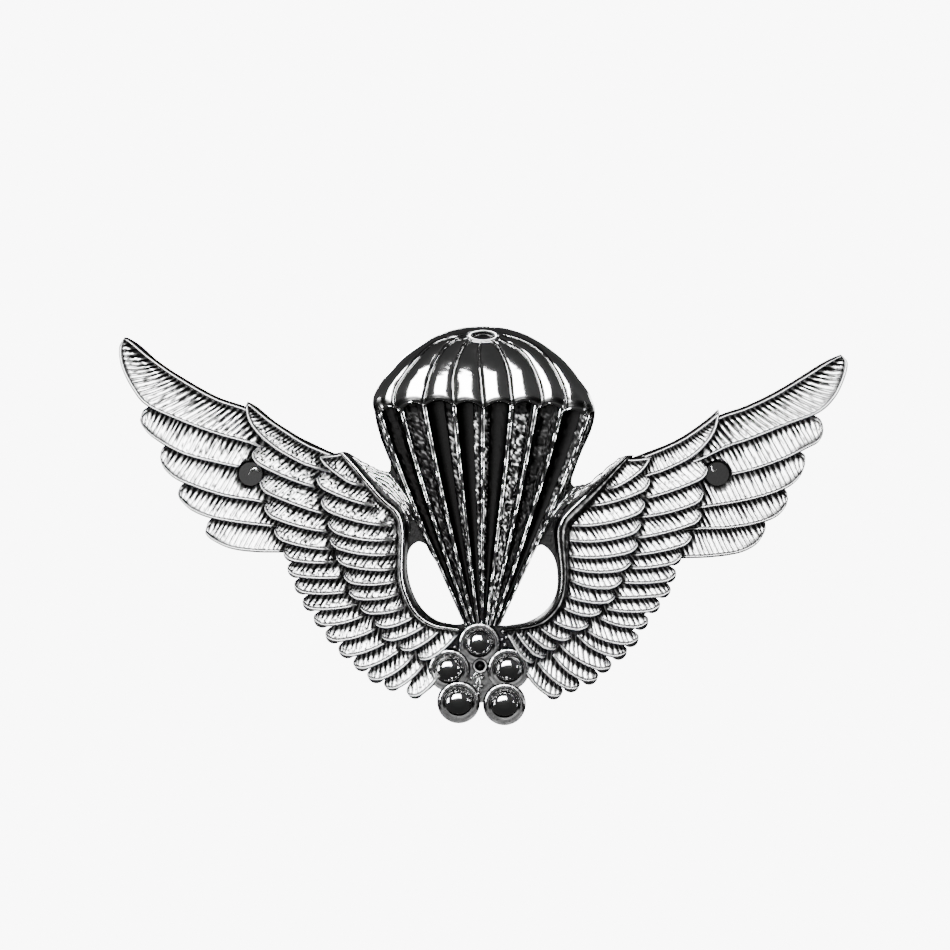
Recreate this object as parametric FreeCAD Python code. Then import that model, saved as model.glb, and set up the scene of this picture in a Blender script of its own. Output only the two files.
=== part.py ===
import FreeCAD, Part
import math
import os

from FreeCAD import Vector

os.makedirs("parts", exist_ok=True)

# Parachutist's winged badge, worn upright. X runs across the badge, Z is up and the badge faces -Y.
# The origin lies midway between the two pin posts, on the flat back of the badge (y = 0).
# A depth is a distance forward from that back plane, so depth d lies at y = -d. All sizes are mm.

# Relief depths of the front
PLATE_DEPTH = 1.0
# Each tier of feathers, from the one on top: at a feather's hidden upper edge, at its raised lower edge
TIER_DEPTHS = {"coverts": (1.8, 2.35), "secondaries": (1.45, 2.0), "primaries": (1.15, 1.6)}
RIM_BEAD_DEPTH = 2.6
RIM_SLOPE_DEPTH = 2.1
STRAND_DEPTH = 1.5
FAN_DEPTH = 1.6
LINE_DEPTH = 2.3
BLOSSOM_DEPTH = 1.6
PETAL_RIM_DEPTH = 2.0
CLEAR_DEPTH = 6.0  # forward of everything, for blocks that trim

# Canopy: a half ellipsoid cut to the canopy's outline
DOME_CENTRE_Z = 9.0
DOME_HALF_WIDTH = 12.2
DOME_HALF_HEIGHT = 6.6
DOME_BULGE = 3.0
RIB_RAISE = 0.18
RIB_WIDTH = 0.45
HEM_HEIGHT = 0.5
HEM_SCALLOP = 0.55
HEM_OVERRUN = (1.5, 0.4)  # how far the hem's two ends are carried past the outline, out and down
CANOPY_CEILING_Z = 20.0  # above the canopy's top
# A rib's path: how much nearer the middle than at the hem, and how far above it
RIB_STEPS = [(1.0, -0.2), (0.93, 2.6), (0.66, 5.3)]
RIB_TOP_NARROWING = 0.1
RIB_TOP_Z = 14.4
VENT_CENTRE = Vector(-0.1, -2.55, 14.0)
VENT_AXIS = Vector(0, -0.31, 0.95)
VENT_RADIUS = 1.6
VENT_HOLE_RADIUS = 1.1
VENT_HEIGHT = 0.55

# Feathers
FEATHER_NOSE = 1.25
ROOT_EXTENSION = 2.2
SMALLEST_PIECE = 0.3  # mm3, what is left of a feather after trimming and is smaller is scrap
WEDGE_REACH = 3  # half widths of a feather that its sloping front is carried to each side
WEDGE_FLOOR = PLATE_DEPTH / 2  # the slope stops at this depth
WEDGE_LENGTH = 30.0

# Blossom at the foot of the lines
DOME_CENTRES = [(-0.5, -17.4), (-3.6, -20.1), (2.5, -20.0), (-2.6, -23.4), (2.1, -23.6)]
BLOSSOM_MIDDLE = (-0.45, -20.9)
BLOSSOM_MIDDLE_RADIUS = 2.6
DOME_RADIUS = 1.65
DOME_SEAT_RADIUS = 1.66
DOME_CENTRE_DEPTH = 1.9
PETAL_RADIUS = 1.9
PISTIL_CENTRE = (-0.4, -19.68)
STAMEN_CENTRES = [
    (-1.15, -20.6), (-0.5, -20.8), (0.15, -20.65), (-0.75, -21.55), (-0.1, -21.6), (-0.4, -22.45),
]
PISTIL_RADIUS = 0.62
PISTIL_HOLLOW_RADIUS = 0.42
PISTIL_BEAD_RADIUS = 0.24
PISTIL_FLOOR_DEPTH = 1.85
PISTIL_DEPTH = 2.1
PISTIL_BEAD_DEPTH = 2.25
STAMEN_RADIUS = 0.22
STAMEN_DEPTH = 1.95

# Pin posts and their spring clutches
POST_X = 24.0
POST_HEAD_RADIUS = 1.2
POST_HEAD_DEPTH = 1.35
POST_NECK_RADIUS = 0.95
POST_FLANGE_RADIUS = 1.5
POST_FLANGE_Y = 0.4
POST_ROOT_RADIUS = 0.75
POST_ROOT_Y = 1.8
POST_RADIUS = 0.55
POST_GROOVE_RADIUS = 0.4
POST_GROOVE_Y = (4.9, 6.1)
POST_CONE_Y = 6.3
POST_TIP_Y = 7.0
POST_TIP_RADIUS = 0.12
EDGE_MATCH = 0.01  # how near an edge must be to where it is looked for
CLUTCH_FACE_Y = 1.9
DISC_RADIUS = 5.0
DISC_THICKNESS = 0.4
DISC_HOLE_RADIUS = 0.7
CURL_HEIGHT = 1.2
CURL_WALL = 0.35
CURL_ROUND = 0.15
HOUSING_RADIUS = 4.2
HOUSING_WALL = 0.35
HOUSING_FLANGE_RADIUS = 4.6
HOUSING_END_Y = 7.5
HOUSING_ROUND = 0.6
WINDOW_Y = (4.4, 6.6)
WINDOW_HALF_WIDTH = 2.3
TAB_THICKNESS = 0.4
TAB_HALF_WIDTH = 2.1
TAB_INNER_END = 3.0
TAB_OUTER_END = 6.4
TAB_LIP = 1.4
TAB_CORNER_RADIUS = 0.7
JAW_WIRE_RADIUS = 0.21
JAW_BAR_OFFSET = 0.8
JAW_ARM_Z = 1.2
OUTER_JAW_Y = 5.2
INNER_JAW_Y = 5.75
SPRING_WIRE_RADIUS = 0.25
SPRING_Y = 3.6
SPRING_LEG_X = 2.7
SPRING_LEG_Z = (-0.7, 2.0)
SPRING_TOP_Y = 5.9

# Long primary feathers: lower edge from root to tip, upper edge from root to tip, as (x, z)
PRIMARIES = {
    "left": [
        ([(-24, 3.0), (-27.5, 4.0), (-31, 5.3), (-34.6, 6.95), (-36.2, 8.8), (-37.3, 11.1),
          (-37.5, 13.0), (-36.95, 14.1)],
         [(-24.5, 6.95), (-27.5, 8.0), (-31, 9.95), (-34, 12.0), (-36.2, 13.8), (-36.95, 14.1)]),
        ([(-24, 0.3), (-27.3, 1.0), (-31, 2.0), (-34.0, 3.7), (-35.1, 4.9), (-35.4, 5.6)],
         [(-24, 3.5), (-29, 5.3), (-33, 6.9), (-34.9, 6.5), (-35.4, 5.6)]),
        ([(-23.5, -2.9), (-27, -2.3), (-31, -0.9), (-32.6, 0.2), (-33.2, 1.2), (-33.3, 1.9)],
         [(-23.5, 0.8), (-28, 1.8), (-31.5, 2.9), (-32.9, 2.8), (-33.3, 1.9)]),
        ([(-22, -5.5), (-25, -5.15), (-28, -4.6), (-30, -3.8), (-31.2, -2.7), (-31.5, -2.0)],
         [(-22, -2.6), (-26, -2.0), (-29.5, -0.9), (-31, -1.1), (-31.5, -2.0)]),
        ([(-20.7, -8.1), (-23.5, -8.05), (-26, -7.7), (-27.8, -6.9), (-28.6, -6.2), (-28.6, -5.7)],
         [(-20.7, -5), (-24, -4.8), (-27, -4.3), (-28.3, -4.9), (-28.6, -5.7)]),
    ],
    "right": [
        ([(22.8, 1.6), (25, 2.65), (27.4, 3.45), (31, 4.9), (34.3, 6.2), (36, 7.7), (37.0, 9.6),
          (37.4, 11.4), (36.7, 12.3)],
         [(24.4, 6.15), (27, 7.05), (30, 8.5), (33, 10.3), (35.3, 11.7), (36.7, 12.3)]),
        ([(23.5, -0.5), (25, -0.3), (28, 0.4), (31, 1.5), (33.2, 2.6), (34.4, 3.3), (34.95, 4.6)],
         [(23.5, 2.6), (28, 4.3), (32.5, 5.9), (34.3, 5.9), (34.95, 4.6)]),
        ([(22.5, -3.6), (25, -3.2), (28, -2.6), (30.9, -1.6), (32.4, -0.4), (33.05, 1.0)],
         [(22.5, 0.2), (27, 1.0), (31, 2.3), (32.9, 1.95), (33.05, 1.0)]),
        ([(21.7, -5.8), (25, -5.7), (28, -5.2), (30, -4.45), (31, -3.4), (31.3, -2.5)],
         [(22, -2.9), (26, -2.4), (29.5, -1.4), (31, -1.8), (31.3, -2.5)]),
        ([(20.3, -8.7), (23, -8.6), (26, -8.2), (27.8, -7.4), (28.7, -6.3), (29.0, -5.5)],
         [(21, -5.4), (25, -5.2), (28, -4.6), (28.9, -5.0), (29.0, -5.5)]),
    ],
}

# The top secondary and the top covert are pointed, so they are drawn the same way
TOP_SECONDARY = {
    "left": ([(-17.7, 0.6), (-19, 1.1), (-21, 2.2), (-22.7, 3.5), (-24.0, 5.0), (-24.5, 6.6), (-24.3, 7.45)],
             [(-15.0, 2.0), (-18, 3.25), (-20, 4.45), (-22, 5.8), (-23.6, 7.1), (-24.3, 7.45)]),
    "right": ([(17.2, -0.2), (18.6, 0.25), (21, 1.4), (22.6, 2.7), (23.7, 4.2), (24.15, 5.8), (24.1, 6.65)],
              [(16.0, 1.9), (18, 2.7), (20.3, 3.8), (22.5, 5.3), (23.5, 6.1), (24.1, 6.65)]),
}
TOP_COVERT = {
    "left": ([(-12.3, -1.4), (-13.8, -1.05), (-15.3, -0.05), (-16.5, 1.0), (-17.0, 1.9)],
             [(-12.0, 0.2), (-14.0, 2.1), (-15.2, 2.15), (-17.0, 1.9)]),
    "right": ([(12.6, -1.7), (13.6, -1.5), (15.2, -0.6), (16.5, 0.5), (17.3, 1.9)],
              [(12.2, -0.2), (14.2, 1.6), (15.2, 1.7), (17.3, 1.9)]),
}

# Round-nosed feathers: tip x, tip z, root x and root z on the lower edge, half width, bow of the centre line
SECONDARIES = {
    "left": [
        (-23.75, 2.3, -17.5, -1.5, 1.0, 0.25), (-22.95, -0.7, -16.3, -4.3, 1.0, 0.2),
        (-22.5, -3.2, -16.2, -6.1, 1.0, 0.3), (-21.5, -5.7, -16.2, -7.9, 0.95, 0.25),
        (-20.6, -7.9, -16.3, -9.3, 0.9, 0.15), (-20.2, -9.6, -14.8, -10.8, 0.85, 0.2),
        (-19.5, -11.3, -14.3, -12.3, 0.85, 0.25), (-18.65, -13.1, -13.5, -13.7, 0.8, 0.25),
        (-17.5, -14.8, -12.3, -14.7, 0.8, 0.4), (-16.3, -16.5, -11.3, -16.2, 0.8, 0.35),
        (-14.95, -18.1, -9.8, -17.3, 0.85, 0.35), (-13.4, -19.6, -8.5, -18.2, 0.8, 0.3),
        (-11.95, -20.8, -7.5, -19.2, 0.8, 0.4), (-10.2, -21.8, -6.8, -20.0, 0.75, 0.3),
        (-7.85, -22.6, -5.0, -21.6, 0.7, 0.2),
    ],
    "right": [
        (22.9, 0.7, 17.0, -2.6, 1.0, 0.2), (22.5, -1.8, 16.3, -4.6, 1.0, 0.3),
        (22.3, -4.0, 16.2, -6.7, 0.95, 0.2), (21.3, -6.3, 15.6, -8.5, 0.9, 0.2),
        (20.3, -8.2, 15.0, -9.85, 0.85, 0.25), (19.75, -10.1, 14.2, -11.3, 0.8, 0.25),
        (19.2, -11.8, 13.6, -12.9, 0.75, 0.1), (18.1, -13.3, 13.4, -14.2, 0.75, 0.2),
        (16.9, -15.0, 12.5, -15.3, 0.75, 0.35), (15.9, -16.8, 11.2, -16.7, 0.75, 0.4),
        (14.7, -18.2, 10.2, -17.4, 0.75, 0.45), (13.1, -19.7, 8.3, -18.3, 0.75, 0.4),
        (11.7, -20.9, 8.0, -19.8, 0.75, 0.4), (9.8, -21.8, 6.6, -20.8, 0.75, 0.3),
        (8.0, -22.6, 4.8, -21.3, 0.75, 0.3),
    ],
}
COVERTS = {
    "left": [
        (-17.1, -0.3, -12.2, -3.3, 0.95, 0.2), (-16.7, -2.6, -10.5, -5.45, 0.95, 0.35),
        (-16.0, -4.9, -10.1, -7.0, 0.9, 0.4), (-15.8, -6.6, -9.9, -8.5, 0.9, 0.35),
        (-15.15, -8.4, -9.7, -10.0, 0.85, 0.3), (-14.4, -10.4, -9.4, -11.3, 0.8, 0.3),
        (-13.9, -12.1, -9.2, -12.65, 0.75, 0.3), (-12.7, -13.7, -9.0, -14.2, 0.7, 0.2),
        (-11.2, -15.3, -7.1, -14.8, 0.75, 0.3), (-10.5, -16.7, -5.7, -15.5, 0.75, 0.35),
        (-8.6, -17.9, -4.7, -16.0, 0.7, 0.3), (-6.7, -18.9, -3.7, -17.0, 0.7, 0.2),
    ],
    "right": [
        (17.0, -0.5, 11.5, -3.4, 0.95, 0.3), (16.5, -2.9, 10.0, -5.5, 0.95, 0.4),
        (16.1, -5.0, 9.8, -7.1, 0.9, 0.4), (15.8, -7.1, 9.4, -8.7, 0.85, 0.35),
        (15.1, -9.0, 9.2, -9.95, 0.8, 0.4), (14.2, -10.8, 9.5, -11.4, 0.8, 0.4),
        (13.5, -12.5, 9.0, -12.9, 0.75, 0.3), (12.1, -14.0, 8.3, -14.0, 0.7, 0.3),
        (10.8, -15.4, 7.3, -15.4, 0.7, 0.3), (8.9, -16.8, 5.5, -15.7, 0.7, 0.3),
        (7.2, -17.9, 4.6, -16.5, 0.65, 0.2), (6.2, -18.8, 3.1, -17.0, 0.65, 0.25),
    ],
}

# Outline of the wing plate inside the feather tips
WING_FIELD = {
    "left": [(-24, 6.6), (-20, 4.3), (-15.2, 2.0), (-9, -2), (-6, -12), (-1, -16), (-1, -20.5), (-6.5, -21.5),
             (-9.3, -20.6), (-11.3, -19.8), (-13, -18.6), (-14.4, -17.2), (-15.6, -15.6), (-16.9, -14),
             (-17.9, -12.1), (-18.7, -10.3), (-20, -7.6), (-24, -4), (-25, 3)],
    "right": [(24, 5.8), (20.3, 3.6), (15.0, 1.6), (9, -2.5), (6, -12), (0, -16), (0, -20.5), (6.5, -21.3),
              (9, -20.8), (11, -20), (12.6, -18.8), (14, -17.4), (15.4, -16), (16.6, -14.4),
              (17.7, -12.7), (18.6, -11), (19.7, -8.3), (24, -4.5), (24.5, 2)],
}

# Rim beside each opening, from the wing's shoulder down to the blossom
RIM_INNER = {
    "left": [(-14.2, 2.25), (-12.9, 1.15), (-11.6, -0.3), (-10, -2.0), (-8.6, -3.3), (-7.95, -4.8),
             (-7.8, -6.5), (-7.9, -10), (-7.4, -12), (-6.5, -13.7), (-5.0, -15.0), (-2.6, -15.55)],
    "right": [(14.3, 1.8), (12.9, 0.5), (11.4, -0.8), (10, -1.9), (8.5, -3.2), (7.5, -4.6),
              (7.2, -6.2), (7.6, -9.8), (7.5, -12), (6.7, -13.7), (5.0, -15.05), (2.0, -15.65)],
}
RIM_OUTER = {
    "left": [(-15.0, 2.1), (-13.2, -0.3), (-11.0, -3.0), (-9.5, -4.3), (-8.95, -5.8),
             (-9.1, -10), (-8.7, -12.4), (-7.6, -14.6), (-5.8, -15.9), (-2.6, -16.35)],
    "right": [(15.4, 1.95), (14.0, 0.2), (12.2, -2.2), (10.6, -4.1), (9.2, -5.4),
              (8.9, -7.0), (9.0, -10.5), (8.6, -13), (7.6, -14.7), (5.8, -15.9), (2.0, -16.35)],
}
RIM_CREST = {
    "left": [(-14.5, 2.2), (-13.2, 0.7), (-11.4, -1.3), (-9.6, -2.9), (-8.5, -4.3), (-8.25, -6.0),
             (-8.4, -10), (-8.0, -12.2), (-7.0, -14.1), (-5.3, -15.4), (-2.6, -15.9)],
    "right": [(14.7, 1.85), (13.3, 0.3), (11.6, -1.4), (9.6, -3.0), (8.2, -4.7), (7.75, -6.3),
              (8.05, -10), (7.95, -12.2), (7.05, -14.1), (5.3, -15.4), (2.0, -15.95)],
}

# Outline of the centre plate above the rims, and the two openings
CANOPY_EDGE = [(-11.2, 6.3), (-11.45, 7.5), (-10, 10.1), (-8, 12.2), (-5, 14.15), (0, 15.2),
               (5, 14.0), (8, 11.85), (10.2, 9.2), (11.45, 6.4)]
LINE_EDGE = {
    "left": [(-9.7, 0.3), (-9.7, 1.5), (-10.3, 3.0), (-10.9, 4.6), (-11.2, 6.3)],
    "right": [(11.45, 6.4), (11.0, 4.4), (9.9, 2.0), (9.0, -0.9)],
}
WEB_EDGE = {
    "left": [(-15.0, 2.1), (-14.3, 2.3), (-13.2, 1.7), (-11.8, 0.85), (-10.4, 0.1), (-9.7, 0.3)],
    "right": [(9.0, -0.9), (9.5, -1.35), (10.4, -1.3), (12.2, 0.0), (14.2, 1.75), (15.4, 1.95)],
}
OPENING_RIM_SIDE = {
    "left": [(-6.7, -6.95), (-7.5, -7.5), (-7.9, -9.4), (-7.4, -12), (-6.5, -13.7), (-5.0, -15.0),
             (-2.1, -15.4)],
    "right": [(6.0, -7.3), (7.0, -8.2), (7.6, -10.6), (7.4, -12.4), (6.6, -13.8), (4.9, -15.05),
              (1.65, -15.6)],
}
OPENING_FAN_SIDE = {
    "left": [(-2.1, -15.4), (-2.3, -14.3), (-4.1, -10.2), (-5.2, -8.3), (-6.0, -7.25), (-6.7, -6.95)],
    "right": [(1.65, -15.6), (1.9, -14.3), (3.8, -10.2), (4.8, -8.3), (5.4, -7.5), (6.0, -7.3)],
}
FAN_EDGE = {
    "left": [(-11.2, 6.3), (-10.2, 2.5), (-7.9, -3), (-5.6, -8), (-4.15, -10.2), (-2.3, -14.3),
             (-2.05, -15.4)],
    "right": [(11.45, 6.4), (9.9, 1.8), (8.2, -2.8), (5.2, -7.8), (3.85, -10.2), (1.95, -14.3),
              (1.65, -15.4)],
}

# Each suspension line runs from a point of the hem to the blossom
HEM_NODES = [
    (-10.8, 6.2), (-8.6, 6.7), (-6.2, 7.0), (-3.1, 7.1), (-0.1, 6.8), (2.9, 7.1), (5.4, 6.8), (8.0, 6.3),
    (10.7, 5.6),
]
LINE_FOOT_Z = -15.4
LINE_FOOT_SPAN = (-1.85, 1.5)
LINE_TOP_WIDTH = 0.5
LINE_FOOT_WIDTH = 0.22

# Straight strands that brace the canopy's lines to the wings: upper end, lower end
STRANDS = {
    "left": [((-12.9, 1.2), (-8.6, -2.4)), ((-11.6, 0.5), (-8.1, -2.8)), ((-10.3, -0.3), (-7.9, -3.9)),
             ((-9.5, -0.3), (-7.4, -4.9))],
    "right": [((10.0, -1.6), (7.9, -3.6)), ((9.3, -1.7), (7.3, -4.2)), ((8.6, -1.8), (6.8, -5.0)),
              ((8.3, -3.0), (6.6, -6.0))],
}
STRAND_WIDTH = 0.35

SIDES = ("left", "right")
AWAY = {"left": -1, "right": 1}  # the direction along X away from the middle


# Drawing in the plane of the badge

def point(x, z):
    return Vector(x, 0, z)


def curve(points):
    """A smooth edge through the points."""
    spline = Part.BSplineCurve()
    spline.interpolate([point(x, z) for x, z in points])
    return spline.toShape()


def line(start, end):
    return Part.makeLine(point(*start), point(*end))


def face(edges):
    return Part.Face(Part.Wire(edges))


def polygon(points):
    return Part.Face(Part.makePolygon([point(x, z) for x, z in points + points[:1]]))


def slab(flat, back, front):
    """The solid under a flat outline, between two depths."""
    moved = flat.copy()
    moved.translate(Vector(0, -back, 0))
    return moved.extrude(Vector(0, back - front, 0))


def joined(shapes):
    return shapes[0].fuse(shapes[1:]).removeSplitter()


def kept(shape):
    """The shape without the scraps that trimming leaves."""
    solids = [solid for solid in shape.Solids if solid.Volume > SMALLEST_PIECE]
    return Part.makeCompound(solids) if len(solids) > 1 else solids[0]


# Feathers

def feather_axes(side, tip, root, half):
    """Unit vectors along a feather and towards its lower edge; root lies on the lower edge."""
    sign = -AWAY[side]
    chord = point(*tip) - point(*root)
    turn = sign * math.asin(half / chord.Length)
    angle = math.atan2(chord.z, chord.x) + turn
    along = point(math.cos(angle), math.sin(angle))
    return along, point(-along.z * sign, along.x * sign)


def rounded_feather(side, row):
    """A round-nosed feather with a bowed centre line: its face, root point, directions and half width."""
    tip_x, tip_z, root_x, root_z, half, bow = row
    along, lower = feather_axes(side, (tip_x, tip_z), (root_x, root_z), half)
    root = point(root_x, root_z) - lower * half
    length = (point(tip_x, tip_z) - root).Length

    def at(distance, side_offset):
        share = distance / length
        return root + along * distance + lower * (side_offset + 4 * bow * share * (1 - share))

    straight = length - FEATHER_NOSE
    stations = (-ROOT_EXTENSION, straight / 2, straight)
    low = [at(s, half) for s in stations]
    high = [at(s, -half) for s in stations]
    edges = [
        Part.Arc(*low).toShape(),
        Part.Arc(low[2], at(length, 0), high[2]).toShape(),
        Part.Arc(high[2], high[1], high[0]).toShape(),
        Part.makeLine(high[0], low[0]),
    ]
    return face(edges), root, along, lower, half


def drawn_feather(side, lower_edge, upper_edge):
    """A pointed feather drawn by its two edges: its face, root point, directions and half width."""
    low_root, high_root = point(*lower_edge[0]), point(*upper_edge[0])
    root = (low_root + high_root) * 0.5
    along = (point(*lower_edge[-1]) - root).normalize()
    sign = -AWAY[side]
    lower = point(-along.z * sign, along.x * sign)
    back = along * -ROOT_EXTENSION
    edges = [
        curve(lower_edge),
        curve(upper_edge[::-1]),
        Part.makeLine(high_root, high_root + back),
        Part.makeLine(high_root + back, low_root + back),
        Part.makeLine(low_root + back, low_root),
    ]
    return face(edges), root, along, lower, (low_root - high_root).Length / 2


def shingle(feather, depths):
    """The feather's solid, whose front slopes from its shallow upper edge to its raised lower edge."""
    flat, root, along, lower, half = feather
    shallow, deep = depths
    middle, slope = (shallow + deep) / 2, (deep - shallow) / (2 * half)
    down = WEDGE_REACH * half
    up = min(down, (middle - WEDGE_FLOOR) / slope)
    front_low = Vector(0, middle + slope * down, 0)
    front_high = Vector(0, middle - slope * up, 0)
    start = root - along * 2 * ROOT_EXTENSION
    high_back, low_back = start - lower * up, start + lower * down
    corners = [high_back, low_back, low_back - front_low, high_back - front_high, high_back]
    wedge = Part.Face(Part.makePolygon(corners)).extrude(along * WEDGE_LENGTH)
    return slab(flat, PLATE_DEPTH, CLEAR_DEPTH).common(wedge)


def feathers_of(side):
    """Every feather of one wing, by tier."""
    return {
        "primaries": [drawn_feather(side, *edges) for edges in PRIMARIES[side]],
        "secondaries": [drawn_feather(side, *TOP_SECONDARY[side])]
        + [rounded_feather(side, row) for row in SECONDARIES[side]],
        "coverts": [drawn_feather(side, *TOP_COVERT[side])]
        + [rounded_feather(side, row) for row in COVERTS[side]],
    }


# Centre of the badge

def centre_face():
    edges = [
        curve(CANOPY_EDGE),
        curve(LINE_EDGE["right"]),
        curve(WEB_EDGE["right"]),
        curve(RIM_OUTER["right"]),
        line(RIM_OUTER["right"][-1], RIM_OUTER["left"][-1]),
        curve(RIM_OUTER["left"][::-1]),
        curve(WEB_EDGE["left"]),
        curve(LINE_EDGE["left"]),
    ]
    return face(edges)


def opening_face(side):
    return face([curve(OPENING_RIM_SIDE[side]), curve(OPENING_FAN_SIDE[side])])


def rim_solid(side):
    """A crest beside the opening and a lower slope beside the coverts."""
    inner, outer, crest = RIM_INNER[side], RIM_OUTER[side], RIM_CREST[side]
    bead = face([curve(inner), line(inner[-1], crest[-1]), curve(crest[::-1]), line(crest[0], inner[0])])
    slope = face([curve(crest), line(crest[-1], outer[-1]), curve(outer[::-1]), line(outer[0], crest[0])])
    return joined([slab(bead, PLATE_DEPTH, RIM_BEAD_DEPTH), slab(slope, PLATE_DEPTH, RIM_SLOPE_DEPTH)])


def hem_edges(raise_by=0.0):
    """The scalloped hem: one arc for each gore, which arches up between two lines."""
    nodes = [(x, z + raise_by) for x, z in HEM_NODES]
    out, down = HEM_OVERRUN
    nodes[0] = (nodes[0][0] - out, nodes[0][1] - down)
    nodes[-1] = (nodes[-1][0] + out, nodes[-1][1] - down)
    edges = []
    for (x0, z0), (x1, z1) in zip(nodes, nodes[1:]):
        top = point((x0 + x1) / 2, (z0 + z1) / 2 + HEM_SCALLOP)
        edges.append(Part.Arc(point(x0, z0), top, point(x1, z1)).toShape())
    return edges, nodes


def above_hem():
    """Everything above the hem, as one flat face."""
    edges, nodes = hem_edges()
    (x0, z0), (x1, z1) = nodes[0], nodes[-1]
    frame = [(x1, z1), (x1, CANOPY_CEILING_Z), (x0, CANOPY_CEILING_Z), (x0, z0)]
    return face(edges + [line(a, b) for a, b in zip(frame, frame[1:])])


def hem_band():
    low, low_nodes = hem_edges()
    high, high_nodes = hem_edges(HEM_HEIGHT)
    right_end = line(low_nodes[-1], high_nodes[-1])
    left_end = line(high_nodes[0], low_nodes[0])
    return face(low + [right_end] + high[::-1] + [left_end])


def dome(extra=0.0):
    """The front half of the canopy's ellipsoid, grown by extra."""
    ball = Part.makeSphere(1.0)
    grow = FreeCAD.Matrix()
    grow.scale(DOME_HALF_WIDTH + extra, DOME_BULGE + extra, DOME_HALF_HEIGHT + extra)
    egg = ball.transformGeometry(grow)
    egg.translate(Vector(0, -PLATE_DEPTH, DOME_CENTRE_Z))
    return egg


def rib_face(node):
    """A seam between two gores, from a point of the hem to the vent."""
    x, z = node
    path = [(x * narrowing, z + rise) for narrowing, rise in RIB_STEPS] + [(x * RIB_TOP_NARROWING, RIB_TOP_Z)]
    left = [(px - RIB_WIDTH / 2, pz) for px, pz in path]
    right = [(px + RIB_WIDTH / 2, pz) for px, pz in path]
    return face([curve(left), line(left[-1], right[-1]), curve(right[::-1]), line(right[0], left[0])])


def canopy_solid():
    outline = slab(centre_face().common(above_hem()), PLATE_DEPTH, CLEAR_DEPTH)
    raised = dome(RIB_RAISE)
    flats = [hem_band()] + [rib_face(node) for node in HEM_NODES[1:-1]]
    trim = joined([slab(flat, PLATE_DEPTH, CLEAR_DEPTH) for flat in flats]).common(raised)
    body = dome().fuse(trim).common(outline)
    return kept(body.cut(vent_seat()))


def vent_seat():
    return Part.makeCylinder(VENT_RADIUS, 5, VENT_CENTRE, VENT_AXIS)


def vent_ring_solid():
    outer = Part.makeCylinder(VENT_RADIUS, VENT_HEIGHT, VENT_CENTRE, VENT_AXIS)
    return outer.cut(Part.makeCylinder(VENT_HOLE_RADIUS, VENT_HEIGHT, VENT_CENTRE, VENT_AXIS))


def fan_face():
    left, right = FAN_EDGE["left"], FAN_EDGE["right"]
    return face([curve(left), line(left[-1], right[-1]), curve(right[::-1]), line(right[0], left[0])])


def line_solids():
    """The raised suspension lines, each tapering from the hem to the blossom."""
    solids = []
    first, last = LINE_FOOT_SPAN
    for index, (x, z) in enumerate(HEM_NODES):
        foot = first + (last - first) * index / (len(HEM_NODES) - 1)
        top, bottom = LINE_TOP_WIDTH / 2, LINE_FOOT_WIDTH / 2
        corners = [(x - top, z), (x + top, z), (foot + bottom, LINE_FOOT_Z), (foot - bottom, LINE_FOOT_Z)]
        solids.append(slab(polygon(corners), FAN_DEPTH, LINE_DEPTH))
    return solids


def strand_solids(side):
    solids = []
    for start, end in STRANDS[side]:
        run = point(*end) - point(*start)
        across = Vector(run.z, 0, -run.x).normalize() * (STRAND_WIDTH / 2)
        a, b = point(*start), point(*end)
        corners = [a - across, a + across, b + across, b - across]
        flat = Part.Face(Part.makePolygon(corners + corners[:1]))
        solids.append(slab(flat, PLATE_DEPTH, STRAND_DEPTH))
    return solids


# Blossom

def peg(centre, radius, back, front):
    """A round peg that stands on the badge, between two depths."""
    return Part.makeCylinder(radius, front - back, Vector(centre[0], -back, centre[1]), Vector(0, -1, 0))


def blossom_solid(back, front):
    middle = peg(BLOSSOM_MIDDLE, BLOSSOM_MIDDLE_RADIUS, back, front)
    return joined([middle] + [peg(c, PETAL_RADIUS, back, front) for c in DOME_CENTRES])


def blossom_plate_solid():
    """A plate with five petal discs, each with a raised rim that seats one dome."""
    rims = [peg(c, PETAL_RADIUS, BLOSSOM_DEPTH, PETAL_RIM_DEPTH) for c in DOME_CENTRES]
    seats = [peg(c, DOME_SEAT_RADIUS, BLOSSOM_DEPTH, PETAL_RIM_DEPTH) for c in DOME_CENTRES]
    seats.append(peg(PISTIL_CENTRE, PISTIL_RADIUS, BLOSSOM_DEPTH, PETAL_RIM_DEPTH))
    return joined([blossom_solid(0, BLOSSOM_DEPTH)] + rims).cut(seats)


def petal_dome(centre):
    ball = Part.makeSphere(DOME_RADIUS, Vector(centre[0], -DOME_CENTRE_DEPTH, centre[1]))
    return ball.common(peg(centre, 2 * DOME_RADIUS, BLOSSOM_DEPTH, BLOSSOM_DEPTH + 3 * DOME_RADIUS))


def pistil_solid():
    collar = peg(PISTIL_CENTRE, PISTIL_RADIUS, BLOSSOM_DEPTH, PISTIL_DEPTH)
    hollow = peg(PISTIL_CENTRE, PISTIL_HOLLOW_RADIUS, PISTIL_FLOOR_DEPTH, PISTIL_DEPTH)
    bead = peg(PISTIL_CENTRE, PISTIL_BEAD_RADIUS, PISTIL_FLOOR_DEPTH, PISTIL_BEAD_DEPTH)
    return collar.cut(hollow).fuse(bead).removeSplitter()


# Pin posts and clutches

def rod(x, radius, start, end, z=0.0):
    """A round bar along Y."""
    return Part.makeCylinder(radius, end - start, Vector(x, start, z), Vector(0, 1, 0))


def post_head(x):
    return rod(x, POST_HEAD_RADIUS, -POST_HEAD_DEPTH, -PLATE_DEPTH)


def post_neck(x):
    return rod(x, POST_NECK_RADIUS, -PLATE_DEPTH, 0)


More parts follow.
